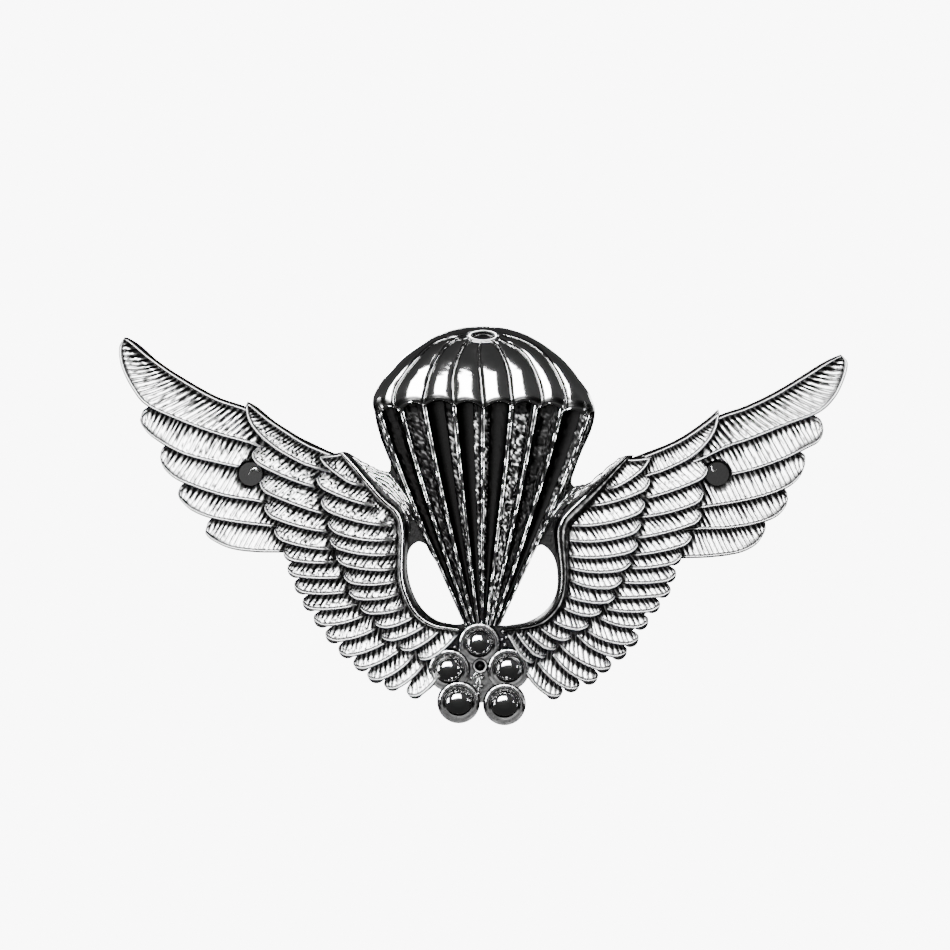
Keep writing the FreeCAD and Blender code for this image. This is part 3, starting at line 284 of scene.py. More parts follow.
class Relief:
    """Collects closed shells in mm, each vertex with its share of patina and painted shade, and makes one
    piece of them.
    """

    def __init__(self):
        self.verts, self.faces, self.tarnish_and_shade = [], [], []

    def add(self, x, depth, z, tarnish_and_shade=0.0):
        self.verts.append((x, -depth, z))
        self.tarnish_and_shade.append(min(1.0, max(0.0, tarnish_and_shade)))
        return len(self.verts) - 1

    def sheet(self, rows, back):
        """A closed block: rows of (x, depth, z, patina and painted shade) as its front, straight sides and a
        flat back.
        """
        front = [[self.add(*p) for p in row] for row in rows]
        count, width = len(rows), len(rows[0])
        for i in range(count - 1):
            for j in range(width - 1):
                self.faces.append((front[i][j], front[i][j + 1], front[i + 1][j + 1], front[i + 1][j]))
        edge = [[self.foot(row[j], back) for j in (0, -1)] for row in rows]
        first = [edge[0][0]] + [self.foot(p, back) for p in rows[0][1:-1]] + [edge[0][1]]
        last = [edge[-1][0]] + [self.foot(p, back) for p in rows[-1][1:-1]] + [edge[-1][1]]
        for i in range(count - 1):
            self.faces.append((front[i][0], front[i + 1][0], edge[i + 1][0], edge[i][0]))
            self.faces.append((front[i][-1], edge[i][1], edge[i + 1][1], front[i + 1][-1]))
            if 0 < i < count - 2:
                self.faces.append((edge[i][0], edge[i + 1][0], edge[i + 1][1], edge[i][1]))
        for j in range(width - 1):
            self.faces.append((front[0][j], first[j], first[j + 1], front[0][j + 1]))
            self.faces.append((front[-1][j], front[-1][j + 1], last[j + 1], last[j]))
        self.faces.append(tuple(first) + (edge[1][1], edge[1][0]))
        self.faces.append(tuple(last[::-1]) + (edge[-2][0], edge[-2][1]))

    def foot(self, point, back):
        return self.add(point[0], back, point[2], SIDE_DIRT)

    def block(self, front, faces, border, back):
        """A closed block on front points of (x, depth, z, patina and painted shade), with straight sides
        below its border.
        """
        top = [self.add(*p) for p in front]
        self.faces += [tuple(top[i] for i in face) for face in faces]
        foot = [self.foot(front[i], back) for i in border]
        for k, i in enumerate(border):
            n = (k + 1) % len(border)
            self.faces.append((top[i], foot[k], foot[n], top[border[n]]))
        self.faces.append(tuple(foot[::-1]))

    def close_rings(self, rings):
        """Joins round rings of points into a closed shell."""
        for a, b in zip(rings, rings[1:]):
            for k in range(len(a)):
                n = (k + 1) % len(a)
                self.faces.append((a[k], a[n], b[n], b[k]))
        self.faces.append(tuple(rings[-1][::-1]))
        self.faces.append(tuple(rings[0]))

    def lathe(self, centre, profile, segments=48, squash=1.0, tilt=0.0, form=None, lean=(0.0, 0.0)):
        """A round solid about the line towards -Y, from its axis to its back.

        profile holds (radius, depth, patina and painted shade), and form may change the last two by angle.
        lean shifts the top sideways, less and less towards the largest radius."""
        widest = max(radius for radius, _, _ in profile)
        rings = []
        for radius, depth, tarnish_and_shade in profile:
            ring = []
            for k in range(segments):
                a = 2 * math.pi * k / segments
                z = radius * math.sin(a) * squash
                height, patina_and_shade = form(a, depth, tarnish_and_shade) if form else (depth, tarnish_and_shade)
                left = 1 - radius / widest
                x = centre[0] + radius * math.cos(a) + lean[0] * left
                ring.append(self.add(x, height + z * tilt, centre[1] + z + lean[1] * left, patina_and_shade))
            rings.append(ring)
        self.close_rings(rings)

    def tube(self, points, radii, tarnish_and_shade=0.0, segments=12):
        """A closed round bar along points of (x, depth, z), with a radius for each, and flanks painted dark
        as shade.
        """
        pts = [Vector((x, -d, z)) for x, d, z in points]
        rings = []
        for i, p in enumerate(pts):
            run = (pts[min(i + 1, len(pts) - 1)] - pts[max(i - 1, 0)]).normalized()
            side = run.cross(Vector((0, 1, 0))).normalized()
            up = side.cross(run)
            ring = []
            for k in range(segments):
                a = 2 * math.pi * k / segments
                q = p + (side * math.cos(a) + up * math.sin(a)) * radii[i]
                # The flanks and back, away from the front, are painted dark as shade; only the crown stays
                # bright
                flank = smooth(0.75, 0.2, (p.y - q.y) / radii[i])
                ring.append(self.add(q.x, -q.y, q.z, max(tarnish_and_shade, FLANK_SHADE * flank)))
            rings.append(ring)
        self.close_rings(rings)

    def piece(self, name, material, slot, *nodes, body="badge", sharp=48):
        mesh = bpy.data.meshes.new(name)
        mesh.from_pydata([tuple(c * MM for c in v) for v in self.verts], [], self.faces)
        values = mesh.attributes.new("tarnish_and_shade", "FLOAT", "POINT")
        values.data.foreach_set("value", self.tarnish_and_shade)
        made = bmesh.new()
        made.from_mesh(mesh)
        bmesh.ops.remove_doubles(made, verts=made.verts, dist=WELD_MM * MM)
        bmesh.ops.dissolve_degenerate(made, edges=made.edges, dist=SLIVER_MM * MM)
        bmesh.ops.recalc_face_normals(made, faces=made.faces)
        made.to_mesh(mesh)
        made.free()
        mesh.polygons.foreach_set("use_smooth", [True] * len(mesh.polygons))
        mesh.set_sharp_from_angle(angle=math.radians(sharp))
        obj = bpy.data.objects.new(name, mesh)
        bpy.context.scene.collection.objects.link(obj)
        mesh.materials.append(material)
        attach(obj, body)
        if nodes:
            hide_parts(*nodes)
        return obj


# ---- materials

CLOUD_SCALE = 900
# The level of patina and painted shade at which a metal is at its brightest and at its darkest
TARNISH_AND_SHADE_SPAN = (0.08, 0.85)


def node(tree, kind, **sockets):
    made = tree.nodes.new(kind)
    for name, value in sockets.items():
        made.inputs[name.replace("_", " ")].default_value = value
    return made


def noise(tree, scale, detail=3.0):
    place = tree.nodes.new("ShaderNodeTexCoord")
    made = node(tree, "ShaderNodeTexNoise", Scale=scale, Detail=detail)
    tree.links.new(place.outputs["Object"], made.inputs["Vector"])
    return made.outputs["Fac"]


def ramp(tree, source, stops):
    made = tree.nodes.new("ShaderNodeValToRGB")
    points = made.color_ramp.elements
    points[0].position, points[0].color = stops[0][0], (*stops[0][1], 1)
    points[1].position, points[1].color = stops[-1][0], (*stops[-1][1], 1)
    for position, colour in stops[1:-1]:
        points.new(position).color = (*colour, 1)
    tree.links.new(source, made.inputs["Fac"])
    return made.outputs["Color"]


def math_node(tree, operation, a, b, clamp=False):
    made = tree.nodes.new("ShaderNodeMath")
    made.operation, made.use_clamp = operation, clamp
    for socket, value in zip(made.inputs, (a, b)):
        if isinstance(value, (int, float)):
            socket.default_value = value
        else:
            tree.links.new(value, socket)
    return made.outputs[0]


def grey(value, warm=0.0):
    return (value + warm, value, value - warm)


def height_along(tree, axis, space):
    """One of a point's own coordinates, as a socket."""
    place = tree.nodes.new("ShaderNodeTexCoord")
    split = tree.nodes.new("ShaderNodeSeparateXYZ")
    tree.links.new(place.outputs[space], split.inputs[0])
    return split.outputs[axis]


def recess_level(tree, front_dark):
    """How dark a point is: the mesh's share of patina and painted shade, or whatever lies forward of a depth
    in mm, as a blackened recess.
    """
    if front_dark is not None:
        return math_node(tree, "LESS_THAN", height_along(tree, "Y", "Object"), -front_dark * MM)
    recess = tree.nodes.new("ShaderNodeAttribute")
    recess.attribute_name = "tarnish_and_shade"
    return recess.outputs["Fac"]


def metal(name, bright, dark, rough, grain, patchy, warm=0.0, front_dark=None, bump_mm=0.02):
    """Plated metal. Its recesses and the painted shade that the mesh carries darken and roughen it, and noise
    breaks both up.

    rough is for clean and for tarnished metal, and grain is the bump noise's scale and strength.
    front_dark is a depth in mm: what lies forward of it is a blackened recess."""
    material = bpy.data.materials.new(name)
    material.use_nodes = True
    tree = material.node_tree
    shader = tree.nodes["Principled BSDF"]
    shader.inputs["Metallic"].default_value = 1.0
    level = recess_level(tree, front_dark)
    clouds = noise(tree, CLOUD_SCALE, 4)
    uneven = math_node(tree, "MULTIPLY", math_node(tree, "SUBTRACT", clouds, 0.5), patchy)
    level = math_node(tree, "ADD", level, uneven, clamp=True)
    bumps = noise(tree, grain[0], 2)
    stops = []
    for share in (0, 0.25, 0.5, 0.75, 1):
        tone = bright * (dark / bright) ** share
        stops.append((mix(*TARNISH_AND_SHADE_SPAN, share), grey(tone, warm * tone)))
    colour = ramp(tree, level, stops)
    tree.links.new(colour, shader.inputs["Base Color"])
    wear = math_node(tree, "ADD", math_node(tree, "MULTIPLY", level, rough[1] - rough[0]), rough[0])
    tree.links.new(wear, shader.inputs["Roughness"])
    bump = node(tree, "ShaderNodeBump", Strength=grain[1], Distance=bump_mm * MM)
    tree.links.new(bumps, bump.inputs["Height"])
    tree.links.new(bump.outputs["Normal"], shader.inputs["Normal"])
    return material


UNDER_RELIEF = PLATE - 0.02
FEATHER = metal("feather_silver", 0.96, 0.012, (0.3, 0.5), (8000, 0.25), 0.22)
RIM = metal("rim_silver", 0.9, 0.01, (0.2, 0.4), (7000, 0.25), 0.3)
CANOPY = metal("canopy_silver", 0.88, 0.012, (0.08, 0.35), (2500, 0.1), 0.5)
BRIGHT = metal("line_silver", 0.9, 0.015, (0.15, 0.4), (6000, 0.2), 0.45)
# Its near-black end paints the polished panels dark, a painted reflection of the dark room, and the hem's
# painted shadow
TROUGH = metal("trough_silver", 0.62, 0.003, (0.3, 0.34), (7000, 0.15), 0.2)
STRAND = metal("strand_silver", 0.93, 0.01, (0.2, 0.5), (8000, 0.3), 1.1)
PETAL = metal("petal_silver", 0.88, 0.015, (0.22, 0.5), (5000, 0.35), 0.5)
MIRROR = metal("dome_silver", 0.92, 0.02, (0.07, 0.3), (1800, 0.06), 0.1)
PLATE_METAL = metal("plate_silver", 0.74, 0.015, (0.3, 0.5), (2600, 0.8), 0.42,
                    front_dark=UNDER_RELIEF, bump_mm=0.09)
BLOSSOM_PLATE = metal("blossom_silver", 0.7, 0.06, (0.3, 0.5), (2600, 0.8), 0.5,
                      front_dark=PLATE, bump_mm=0.09)
POST_METAL = metal("post_nickel", 0.7, 0.012, (0.22, 0.4), (6000, 0.2), 0.25, front_dark=UNDER_RELIEF)
CLUTCH = metal("clutch_nickel", 0.76, 0.2, (0.2, 0.45), (3000, 0.15), 0.3, warm=0.045)
TAB = metal("tab_nickel", 0.8, 0.2, (0.14, 0.4), (2500, 0.12), 0.25, warm=0.04)
WIRE = metal("spring_wire", 0.6, 0.1, (0.18, 0.4), (5000, 0.15), 0.25)

# ---- feathers

# Along a barb's pitch: where, how high against the land, how dark
BARB_STEPS = ((0.0, -1.0, 0.95), (0.12, -0.6, 0.85), (0.24, 0.1, 0.45),
              (0.5, 0.3, 0.0), (0.76, 0.1, 0.45), (0.88, -0.6, 0.85))
# Across a feather: distances in mm from its lower edge, shares of the middle, distances from its upper edge
LOW_STEPS = (0.0, 0.05, 0.11, 0.17, 0.23, 0.3, 0.36, 0.43, 0.52)
MIDDLE_STEPS = (0.12, 0.28, 0.44, 0.6, 0.76, 0.9)
HIGH_STEPS = (0.78, 0.66, 0.56, 0.48, 0.41, 0.34, 0.27, 0.2, 0.13, 0.06, 0.0)
FEATHER_NOSE = 1.25
# Each tier: its depth at the upper and the lower edge of a feather; the strokes of its first feathers, as
# pitch, lean, shortest and longest reach, and depth of cut; its seed
TIERS = {
    "coverts": ((2.03, 2.35), [(0.43, 0.9, (0.8, 1.6), 0.1)], 31),
    "secondaries": ((1.7, 2.0), [(0.46, 1.0, (0.8, 1.6), 0.11)], 21),
    "primaries": ((1.3, 1.6), [(0.68, 2.5, (1.6, 3.2), 0.16), (0.52, 1.6, (0.8, 2.0), 0.12)], 11),
}
# How blotched each tier is, at its first and at its last feather
WEAR = {
    "left": {"primaries": (0.6, 0.3), "secondaries": (1.3, 0.45), "coverts": (1.25, 0.55)},
    "right": {"primaries": (0.4, 0.2), "secondaries": (0.4, 0.2), "coverts": (0.4, 0.3)},
}
# How dark the painted shadow is that lies along the edge of whatever covers a feather
COVER_SHADOW_GREY = 0.74
BEAD_HEIGHT = 0.13
BEAD_AT, BEAD_HALF = 0.32, 0.17
BEAD_SET = 0.12
BLADE_CROWN = 0.22
# How far below its upper edge a crest feather's strokes begin
CREST_COVER = 0.5
# A rounded feather's points are spread evenly up to here, and close up towards its tip
EVEN_UNTIL = 0.7
# A rounded feather goes on below its neighbours: past its root, and below the one above
ROOT_RUN = 0.9
TUCK = 0.55
UNDER_RIM = 0.08
# The dished seat round a post's head: where it ends and where it is full, from the post's middle
POST_SEAT = (1.5, 1.25)
POST_DEPTH = depth_of("left_post")


class Feather:
    """One feather's outline: its lower and its upper edge as functions of 0 at the root to 1 at the tip."""

    def __init__(self, low, high, length, crest=False):
        self.low, self.high, self.length, self.crest = low, high, length, crest

    def lower_points(self):
        return [self.low(k / 60) for k in range(61)]

    def outline(self):
        return self.lower_points() + [self.high(k / 60) for k in range(61)]


def drawn_feather(row, crest):
    low, high = path_through(row[0]), path_through(row[1])
    return Feather(low, high, low.length, crest)


def rounded_feather(side, row):
    tip_x, tip_z, root_x, root_z, half, bow = row
    sign = 1 if side == "left" else -1
    tip, root = Vector((tip_x, tip_z)), Vector((root_x, root_z))
    chord = tip - root
    angle = math.atan2(chord.y, chord.x) + sign * math.asin(half / chord.length)
    along = Vector((math.cos(angle), math.sin(angle)))
    lower = Vector((-along.y * sign, along.x * sign))
    root = root - lower * half
    length = (tip - root).length

    def edge(direction, tuck):
        def at(share):
            even = share * math.sin(EVEN_UNTIL * math.pi / 2) / EVEN_UNTIL
            s = mix(-ROOT_RUN, length, math.sin(share * math.pi / 2) if share > EVEN_UNTIL else even)
            past = max(0.0, (s - (length - FEATHER_NOSE)) / FEATHER_NOSE)
            nose = math.sqrt(max(0.0, 1 - past * past))
            width = (half + tuck * smooth(length - 0.4, length - 2.4, s)) * nose
            sag = 4 * bow * (s / length) * (1 - s / length)
            return root + along * s + lower * (sag + direction * width)
        return at

    return Feather(edge(1, 0), edge(-1, TUCK), length + ROOT_RUN)


class RimLine:
    """The middle line of a rim. Points that lie past it, on the opening's side, are held just under it."""

    def __init__(self, side):
        inner, outer = path_through(RIM_INNER[side]), path_through(RIM_OUTER[side])
        shares = [k / 150 for k in range(151)]
        self.middle = [inner(t).lerp(outer(t), 0.5) for t in shares]
        self.outward = [(outer(t) - inner(t)).normalized() for t in shares]
        self.shadow = [outer(t).lerp(inner(t), 0.3) for t in shares]
        self.tree = tree_of(self.middle)

    def held(self, point):
        index = self.tree.find((point.x, point.y, 0))[1]
        away = point - self.middle[index]
        past = -away.dot(self.outward[index])
        if past <= 0 or index in (0, len(self.middle) - 1):
            return point
        return point + self.outward[index] * (past - past * UNDER_RIM / (UNDER_RIM + past))


def columns_across(width):
    """Shares of a feather's width, close together where its two edges are modelled."""
    low, high = LOW_STEPS[-1], HIGH_STEPS[0]
    squeeze = min(1.0, 0.9 * width / (low + high))
    first, last = low * squeeze / width, 1 - high * squeeze / width
    shares = [d * squeeze / width for d in LOW_STEPS]
    shares += [mix(first, last, f) for f in MIDDLE_STEPS]
    return shares + [1 - d * squeeze / width for d in HIGH_STEPS]


def barb_stations(length, pitch, reach, rng):
    """Cross-sections along a feather, barb by barb: (share, height, tarnish, reach of its stroke)."""
    spans = [rng.uniform(0.7, 1.3) for _ in range(max(6, round(length / pitch)))]
    stations = []
    passed = 0.0
    for span in spans:
        vigour, run = rng.uniform(0.25, 1.0), rng.uniform(*reach)
        for phase, height, patina_and_shade in BARB_STEPS:
            share = (passed + phase * span) / sum(spans)
            stations.append((share, height, patina_and_shade * mix(0.5, 1.0, vigour), run * mix(0.45, 1.0, vigour)))
        passed += span
    return stations + [(1.0, 0.0, 0.0, 1.0)]


class Face:
    """A feather's face: a sloping blade with a bead on its edge, dark slanting strokes below its cover, and a
    painted shadow along the cover's edge.
    """

    def __init__(self, blade, depths, lean, cut, wear, covers, post, rim_line):
        self.blade, self.depths, self.lean, self.cut = blade, depths, lean, cut
        self.wear, self.covers, self.post, self.rim_line = wear, covers, post, rim_line

    def cover_gap(self, point, from_high):
        """How far a point is from what covers the feather. A crest feather is covered by its upper bead."""
        gap = self.covers.find((point.x, point.y, 0))[2]
        if self.blade.crest:
            gap = min(gap, abs(from_high - CREST_COVER)) if from_high > CREST_COVER else 9.0
        return gap

    def at(self, station, v):
        """(x, depth, z, patina and painted shade) at a station, v of the way from the lower to the upper
        edge.
        """
        share, height, patina_and_shade, run = station
        shallow, deep = self.depths
        slant = self.lean * (0.5 - v) / self.blade.length * smooth(0.0, 0.12, share) * smooth(1.0, 0.8, share)
        u = min(1.0, max(0.0, share + slant))
        a, b = self.blade.low(u), self.blade.high(u)
        point = a.lerp(b, v)
        from_low, from_high = v * (b - a).length, (1 - v) * (b - a).length
        gap = self.cover_gap(point, from_high)
        top_bead = self.blade.crest or smooth(0.8, 0.93, u) > 0.5
        edge = min(from_low + BEAD_SET, from_high) if top_bead else from_low + BEAD_SET
        bead = BEAD_HEIGHT * max(0.0, 1 - ((edge - BEAD_AT) / BEAD_HALF) ** 2)
        shoulder, inside = smooth(0.24, 0.05, edge), smooth(0.45, 0.6, edge)
        # band is a painted shadow along the edge of what covers the feather
        band = smooth(0.52, 0.26, gap) * (inside if self.blade.crest else 1.0)
        wedge = run * (1.0 if height < -0.9 else 0.7 if height < 0 else 0.34)
        stroke = smooth(wedge, 0.6 * wedge, gap) * inside * smooth(0.0, 0.03, share)
        gutter = max(0.0, 1 - abs(edge - 0.56) / 0.1) * smooth(0.6, 0.9, u)
        speck = self.wear * smooth(0.05, 0.45, perlin.noise(Vector((point.x * 4.5, point.y * 4.5, 5))))
        # shade gathers the dark of the edge, the strokes, the gutter and the wear specks, and the painted
        # shadow band
        shade = max(0.85 * shoulder, COVER_SHADOW_GREY * band, patina_and_shade * stroke, 0.9 * gutter, speck * inside)
        depth = mix(deep, shallow, v) + BLADE_CROWN * v * (1 - v) + bead - 0.25 * shoulder
        depth += height * self.cut * (0.25 + 0.75 * stroke) * inside - 0.04 * band - 0.06 * gutter
        depth -= 0.12 * smooth(0.93, 1.0, u) + 0.35 * smooth(0.1, 0.0, share)
        if self.post and (point - self.post).length < POST_SEAT[0]:
            sunk = smooth(*POST_SEAT, (point - self.post).length)
            depth, shade = mix(depth, POST_DEPTH - 0.3, sunk), max(shade, 0.9 * sunk)
        point = self.rim_line.held(point)
        return point.x, max(depth, SEAT + 0.04), point.y, shade


def tier(side, name, blades, above, seed, rim_line, post):
    """All feathers of one tier of one wing, from the top down. They stand for that tier's CAD node."""
    depths, styles, _ = TIERS[name]
    rng = random.Random(seed)
    relief = Relief()
    for index, blade in enumerate(blades):
        pitch, lean, reach, cut = styles[min(index, len(styles) - 1)]
        covers = tree_of(above + (blades[index - 1].lower_points() if index else []))
        wear = mix(*WEAR[side][name], index / (len(blades) - 1))
        face = Face(blade, depths, lean, cut, wear, covers, post, rim_line)
        rows = []
        for station in barb_stations(blade.length, pitch, reach, rng):
            width = (blade.high(station[0]) - blade.low(station[0])).length
            rows.append([face.at(station, v) for v in columns_across(max(0.1, width))])
        relief.sheet(rows, SEAT)
    relief.piece(side + "_" + name + "_feathers", FEATHER, "feather_metal", side + "_" + name)


def wings():
    for number, side in enumerate(SIDES):
        rim_line = RimLine(side)
        blades = {
            "coverts": [drawn_feather(TOP_COVERT[side], True)]
            + [rounded_feather(side, row) for row in COVERTS[side]],
            "secondaries": [drawn_feather(TOP_SECONDARY[side], True)]
            + [rounded_feather(side, row) for row in SECONDARIES[side]],
            "primaries": [drawn_feather(row, index == 0) for index, row in enumerate(PRIMARIES[side])],
        }
        above = rim_line.shadow
        for name, (_, _, seed) in TIERS.items():
            post = Vector(centre_of(side + "_post")) if name == "primaries" else None
            tier(side, name, blades[name], above, seed + number, rim_line, post)
            above = above + [p for blade in blades[name] for p in blade.outline()]


# ---- rims and strands

# Across a rim, from the opening outwards: share of its width, depth, tarnish
RIM_PROFILE = {
    "left": [(0.0, 1.65, 0.8), (0.1, 2.0, 0.7), (0.2, 2.3, 0.5), (0.28, 2.42, 0.6), (0.34, 2.4, 0.95),
             (0.4, 2.5, 0.4), (0.44, 2.56, 0.0), (0.49, 2.56, 0.05), (0.54, 2.44, 0.8), (0.6, 2.36, 0.95),
             (0.66, 2.38, 0.45), (0.74, 2.36, 0.42), (0.82, 2.26, 0.45), (0.89, 2.1, 0.6), (0.95, 1.95, 0.9),
             (1.0, 1.75, 0.95)],
    "right": [(0.0, 1.65, 0.95), (0.1, 2.0, 0.95), (0.18, 2.3, 0.8), (0.24, 2.44, 0.2), (0.3, 2.5, 0.05),
              (0.36, 2.46, 0.6), (0.42, 2.4, 0.9), (0.5, 2.46, 0.62), (0.58, 2.48, 0.58), (0.66, 2.44, 0.6),
              (0.74, 2.36, 0.62), (0.82, 2.26, 0.65), (0.89, 2.1, 0.75), (0.95, 1.95, 0.95),
              (1.0, 1.75, 0.95)],
}
RIM_SPOTS = 0.35
RIM_ROWS = 90
CORD_STEPS = 36
CORD_RADIUS = 0.15
CORD_WANDER = 0.05


def rim(side):
    """The moulding beside an opening: a polished bead, a dark groove and a sloping band."""
    inner, outer = path_through(RIM_INNER[side]), path_through(RIM_OUTER[side])
    relief = Relief()
    rows = []
    for i in range(RIM_ROWS + 1):
        a, b = inner(i / RIM_ROWS), outer(i / RIM_ROWS)
        row = []
        for v, depth, patina_and_shade in RIM_PROFILE[side]:
            p = a.lerp(b, v)
            spots = perlin.noise(Vector((p.x * 2.5, p.y * 2.5, 9)))
            spots += 0.4 * perlin.noise(Vector((p.x * 8, p.y * 8, 3)))
            row.append((p.x, depth, p.y, patina_and_shade + RIM_SPOTS * spots))
        rows.append(row)
    relief.sheet(rows, SEAT)
    relief.piece(side + "_rim_moulding", RIM, "rim_metal", side + "_rim")


def strands(side):
    """The bundle of cords that crosses from the top of the rim to the fan."""
    outer, inner = (path_through(guide) for guide in CORD_GUIDES[side])
    rng = random.Random(41 if side == "left" else 42)

    def stray():
        return rng.uniform(-CORD_WANDER, CORD_WANDER)

    relief = Relief()
    for index in range(CORDS_ACROSS):
        f = index / (CORDS_ACROSS - 1)
        end = rng.uniform(0.9, 1.0)
        points, radii = [], []
        for k in range(CORD_STEPS + 1):
            t = k / CORD_STEPS * end
            p = outer(t).lerp(inner(t), f) + Vector((stray(), stray()))
            lift = 1.35 + 0.75 * smooth(0.35, 0.8, t) * (1 - f) - 0.5 * smooth(0.9, 1.0, k / CORD_STEPS)
            points.append((p.x, lift, p.y))
            radii.append(CORD_RADIUS + 0.03 * math.sin(math.pi * t) + stray())
        relief.tube(points, radii, rng.uniform(-0.3, 0.1))
    relief.piece(side + "_strand_cords", STRAND, "strand_metal", side + "_strands")


# ---- canopy

SEAM_STEPS = (0.0, 0.015, 0.03, 0.05, 0.07, 0.1, 0.16, 0.25, 0.37, 0.5, 0.63, 0.75, 0.84, 0.9, 0.93, 0.95,
              0.97, 0.985)
CANOPY_ROWS = 60
# A gore swells with its width, up to the bulge
GORE_BULGE = 0.22
GORE_FULLNESS = 0.09
DOME_MIDDLE = (0.0, 7.6)
DOME_HALF = (12.4, 8.2)
DOME_BACK, DOME_HEIGHT = 1.0, 3.05
# Along its outline the dome rounds off to this depth, over this width
ROUNDED_DEPTH, ROUNDING = 1.25, 1.1
# Seams stand up, with a dark groove beside them
RIB_HEIGHT, RIB_HALF = 0.12, 0.1
GROOVE_AT, GROOVE_HALF, GROOVE_DEPTH = 0.16, 0.07, 0.05
# Up from the hem: a roll, then its shadow
HEM_HEIGHT, HEM_AT, HEM_HALF = 0.1, 0.12, 0.13
SHADOW_AT, SHADOW_HALF = 0.42, 0.2
APEX_DEPTH = 3.1
VENT_DEPTH = 3.05
# Across the vent's ring, from its hollow outwards: radius, rise over the vent's depth, tarnish
VENT_SECTION = [
    (0.02, -0.25, 0.9), (0.6, -0.25, 0.9), (1.0, -0.2, 0.95), (1.08, 0.1, 0.3), (1.16, 0.21, 0.0),
    (1.3, 0.25, 0.0), (1.46, 0.25, 0.0), (1.6, 0.21, 0.0), (1.7, 0.06, 0.1), (1.76, -0.25, 0.9),
    (1.76, -1.3, 0.9),
]


def dome_depth(x, z, to_edge):
    """The depth of the canopy's even dome, rounded off towards its outline."""
    spread = ((x - DOME_MIDDLE[0]) / DOME_HALF[0]) ** 2 + ((z - DOME_MIDDLE[1]) / DOME_HALF[1]) ** 2
    depth = DOME_BACK + DOME_HEIGHT * math.sqrt(max(0.0, 1 - spread))
    shoulder = max(0.0, 1 - to_edge / ROUNDING)
    return mix(depth, ROUNDED_DEPTH, 1 - math.sqrt(max(0.0, 1 - shoulder ** 2)))


def gore_point(seams, brink, index, f, t):
    """(x, depth, z, patina and painted shade) of a gore, f of the way from one seam to the next and t of the
    way up; the painted shade is the hem's shadow.
    """
    left, right = seams[index](t), seams[index + 1](t)
    p = left.lerp(right, f)
    lift = HEM_SCALLOP * 4 * f * (1 - f) * (1 - t) ** 3 - HEM_DROP * (1 - t) ** 3
    x, z = p.x, p.y + lift
    width = (right - left).length
    swollen = min(GORE_BULGE, GORE_FULLNESS * width) * smooth(0.95, 0.45, t)
    to_seam = min(f, 1 - f) * width
    is_seam = 0 < index + round(f) < len(seams) - 1
    crown = smooth(1.0, 0.9, t) if is_seam else 0.0
    rib = RIB_HEIGHT * max(0.0, 1 - (to_seam / RIB_HALF) ** 2) * crown * smooth(0.3, 1.2, width)
    groove = max(0.0, 1 - abs(to_seam - GROOVE_AT) / GROOVE_HALF) * crown
    up = t * seams[len(seams) // 2].length
    hem = HEM_HEIGHT * max(0.0, 1 - ((up - HEM_AT) / HEM_HALF) ** 2)
    under_hem = max(0.0, 1 - abs(up - SHADOW_AT) / SHADOW_HALF) ** 0.5
    wave = 0.035 * perlin.noise(Vector((x * 0.7, z * 0.7, 2)))
    wave += 0.008 * perlin.noise(Vector((x * 3, z * 3, 3)))
    depth = dome_depth(x, z, brink.find((x, z, 0))[2])
    depth += swollen * math.sin(math.pi * f) + rib + hem + wave - GROOVE_DEPTH * groove
    return x, depth, z, max(0.85 * groove, 0.8 * under_hem)


def canopy_faces(count):
    """Faces over a number of columns that are closed by one more point, the apex, and their border."""
    tall, last, apex = CANOPY_ROWS + 1, count - 1, count * (CANOPY_ROWS + 1)
    faces = []
    for c in range(last):
        for i in range(CANOPY_ROWS):
            here, there = c * tall + i, (c + 1) * tall + i
            faces.append((here, here + 1, there + 1, there))
    faces += [(c * tall + CANOPY_ROWS, apex, (c + 1) * tall + CANOPY_ROWS) for c in range(last)]
    border = list(range(tall)) + [last * tall + i for i in range(CANOPY_ROWS - 1, -1, -1)]
    return faces, border + [c * tall for c in range(last - 1, 0, -1)]


def canopy():
    """Domed gores between raised seams, with a scalloped hem. It is one closed block."""
    seams = [path_through(points) for points in CANOPY_SEAMS]
    brink = tree_of([seams[end](k / 120) for end in (0, -1) for k in range(121)])
    gores = len(seams) - 1
    columns = [(index, f) for index in range(gores) for f in SEAM_STEPS] + [(gores - 1, 1.0)]
    front = [gore_point(seams, brink, index, f, i / CANOPY_ROWS)
             for index, f in columns for i in range(CANOPY_ROWS + 1)]
    front[-1] = front[CANOPY_ROWS]
    front.append((VENT[0], APEX_DEPTH, VENT[1] + 0.1, 0.6))
    faces, border = canopy_faces(len(columns))
    relief = Relief()
    relief.block(front, faces, border, SEAT)
    relief.piece("canopy_gores", CANOPY, "canopy_metal", "canopy", sharp=60)


def vent():
    relief = Relief()
    profile = [(radius, VENT_DEPTH + rise, patina_and_shade) for radius, rise, patina_and_shade in VENT_SECTION]
    relief.lathe(VENT, profile, 64, squash=0.36, tilt=-0.12)
    relief.piece("vent_lip", RIM, "vent_metal", "vent_ring")


# ---- fan of lines

# Across a line: two bright ridges with a dark groove between, as offset, depth and tarnish
LINE_SECTION = [(-0.27, 1.5, 0.95), (-0.22, 1.9, 0.7), (-0.16, 2.2, 0.0), (-0.1, 2.2, 0.0), (-0.04, 2.0, 0.9),
                (0.04, 2.0, 0.9), (0.1, 2.2, 0.0), (0.16, 2.2, 0.0), (0.22, 1.9, 0.7), (0.27, 1.5, 0.95)]
LINE_ROWS = 80
# A line is this much narrower at its foot
LINE_TAPER = 0.55
TROUGH_STEPS = (0, 0.07, 0.14, 0.22, 0.3, 0.31, 0.42, 0.54, 0.65, 0.67, 0.71, 0.73, 0.8, 0.87, 0.94, 1.0)
TROUGH_ROWS = 115
TROUGH_TOP_Z = 7.9
TROUGH_HOLLOW = 0.4
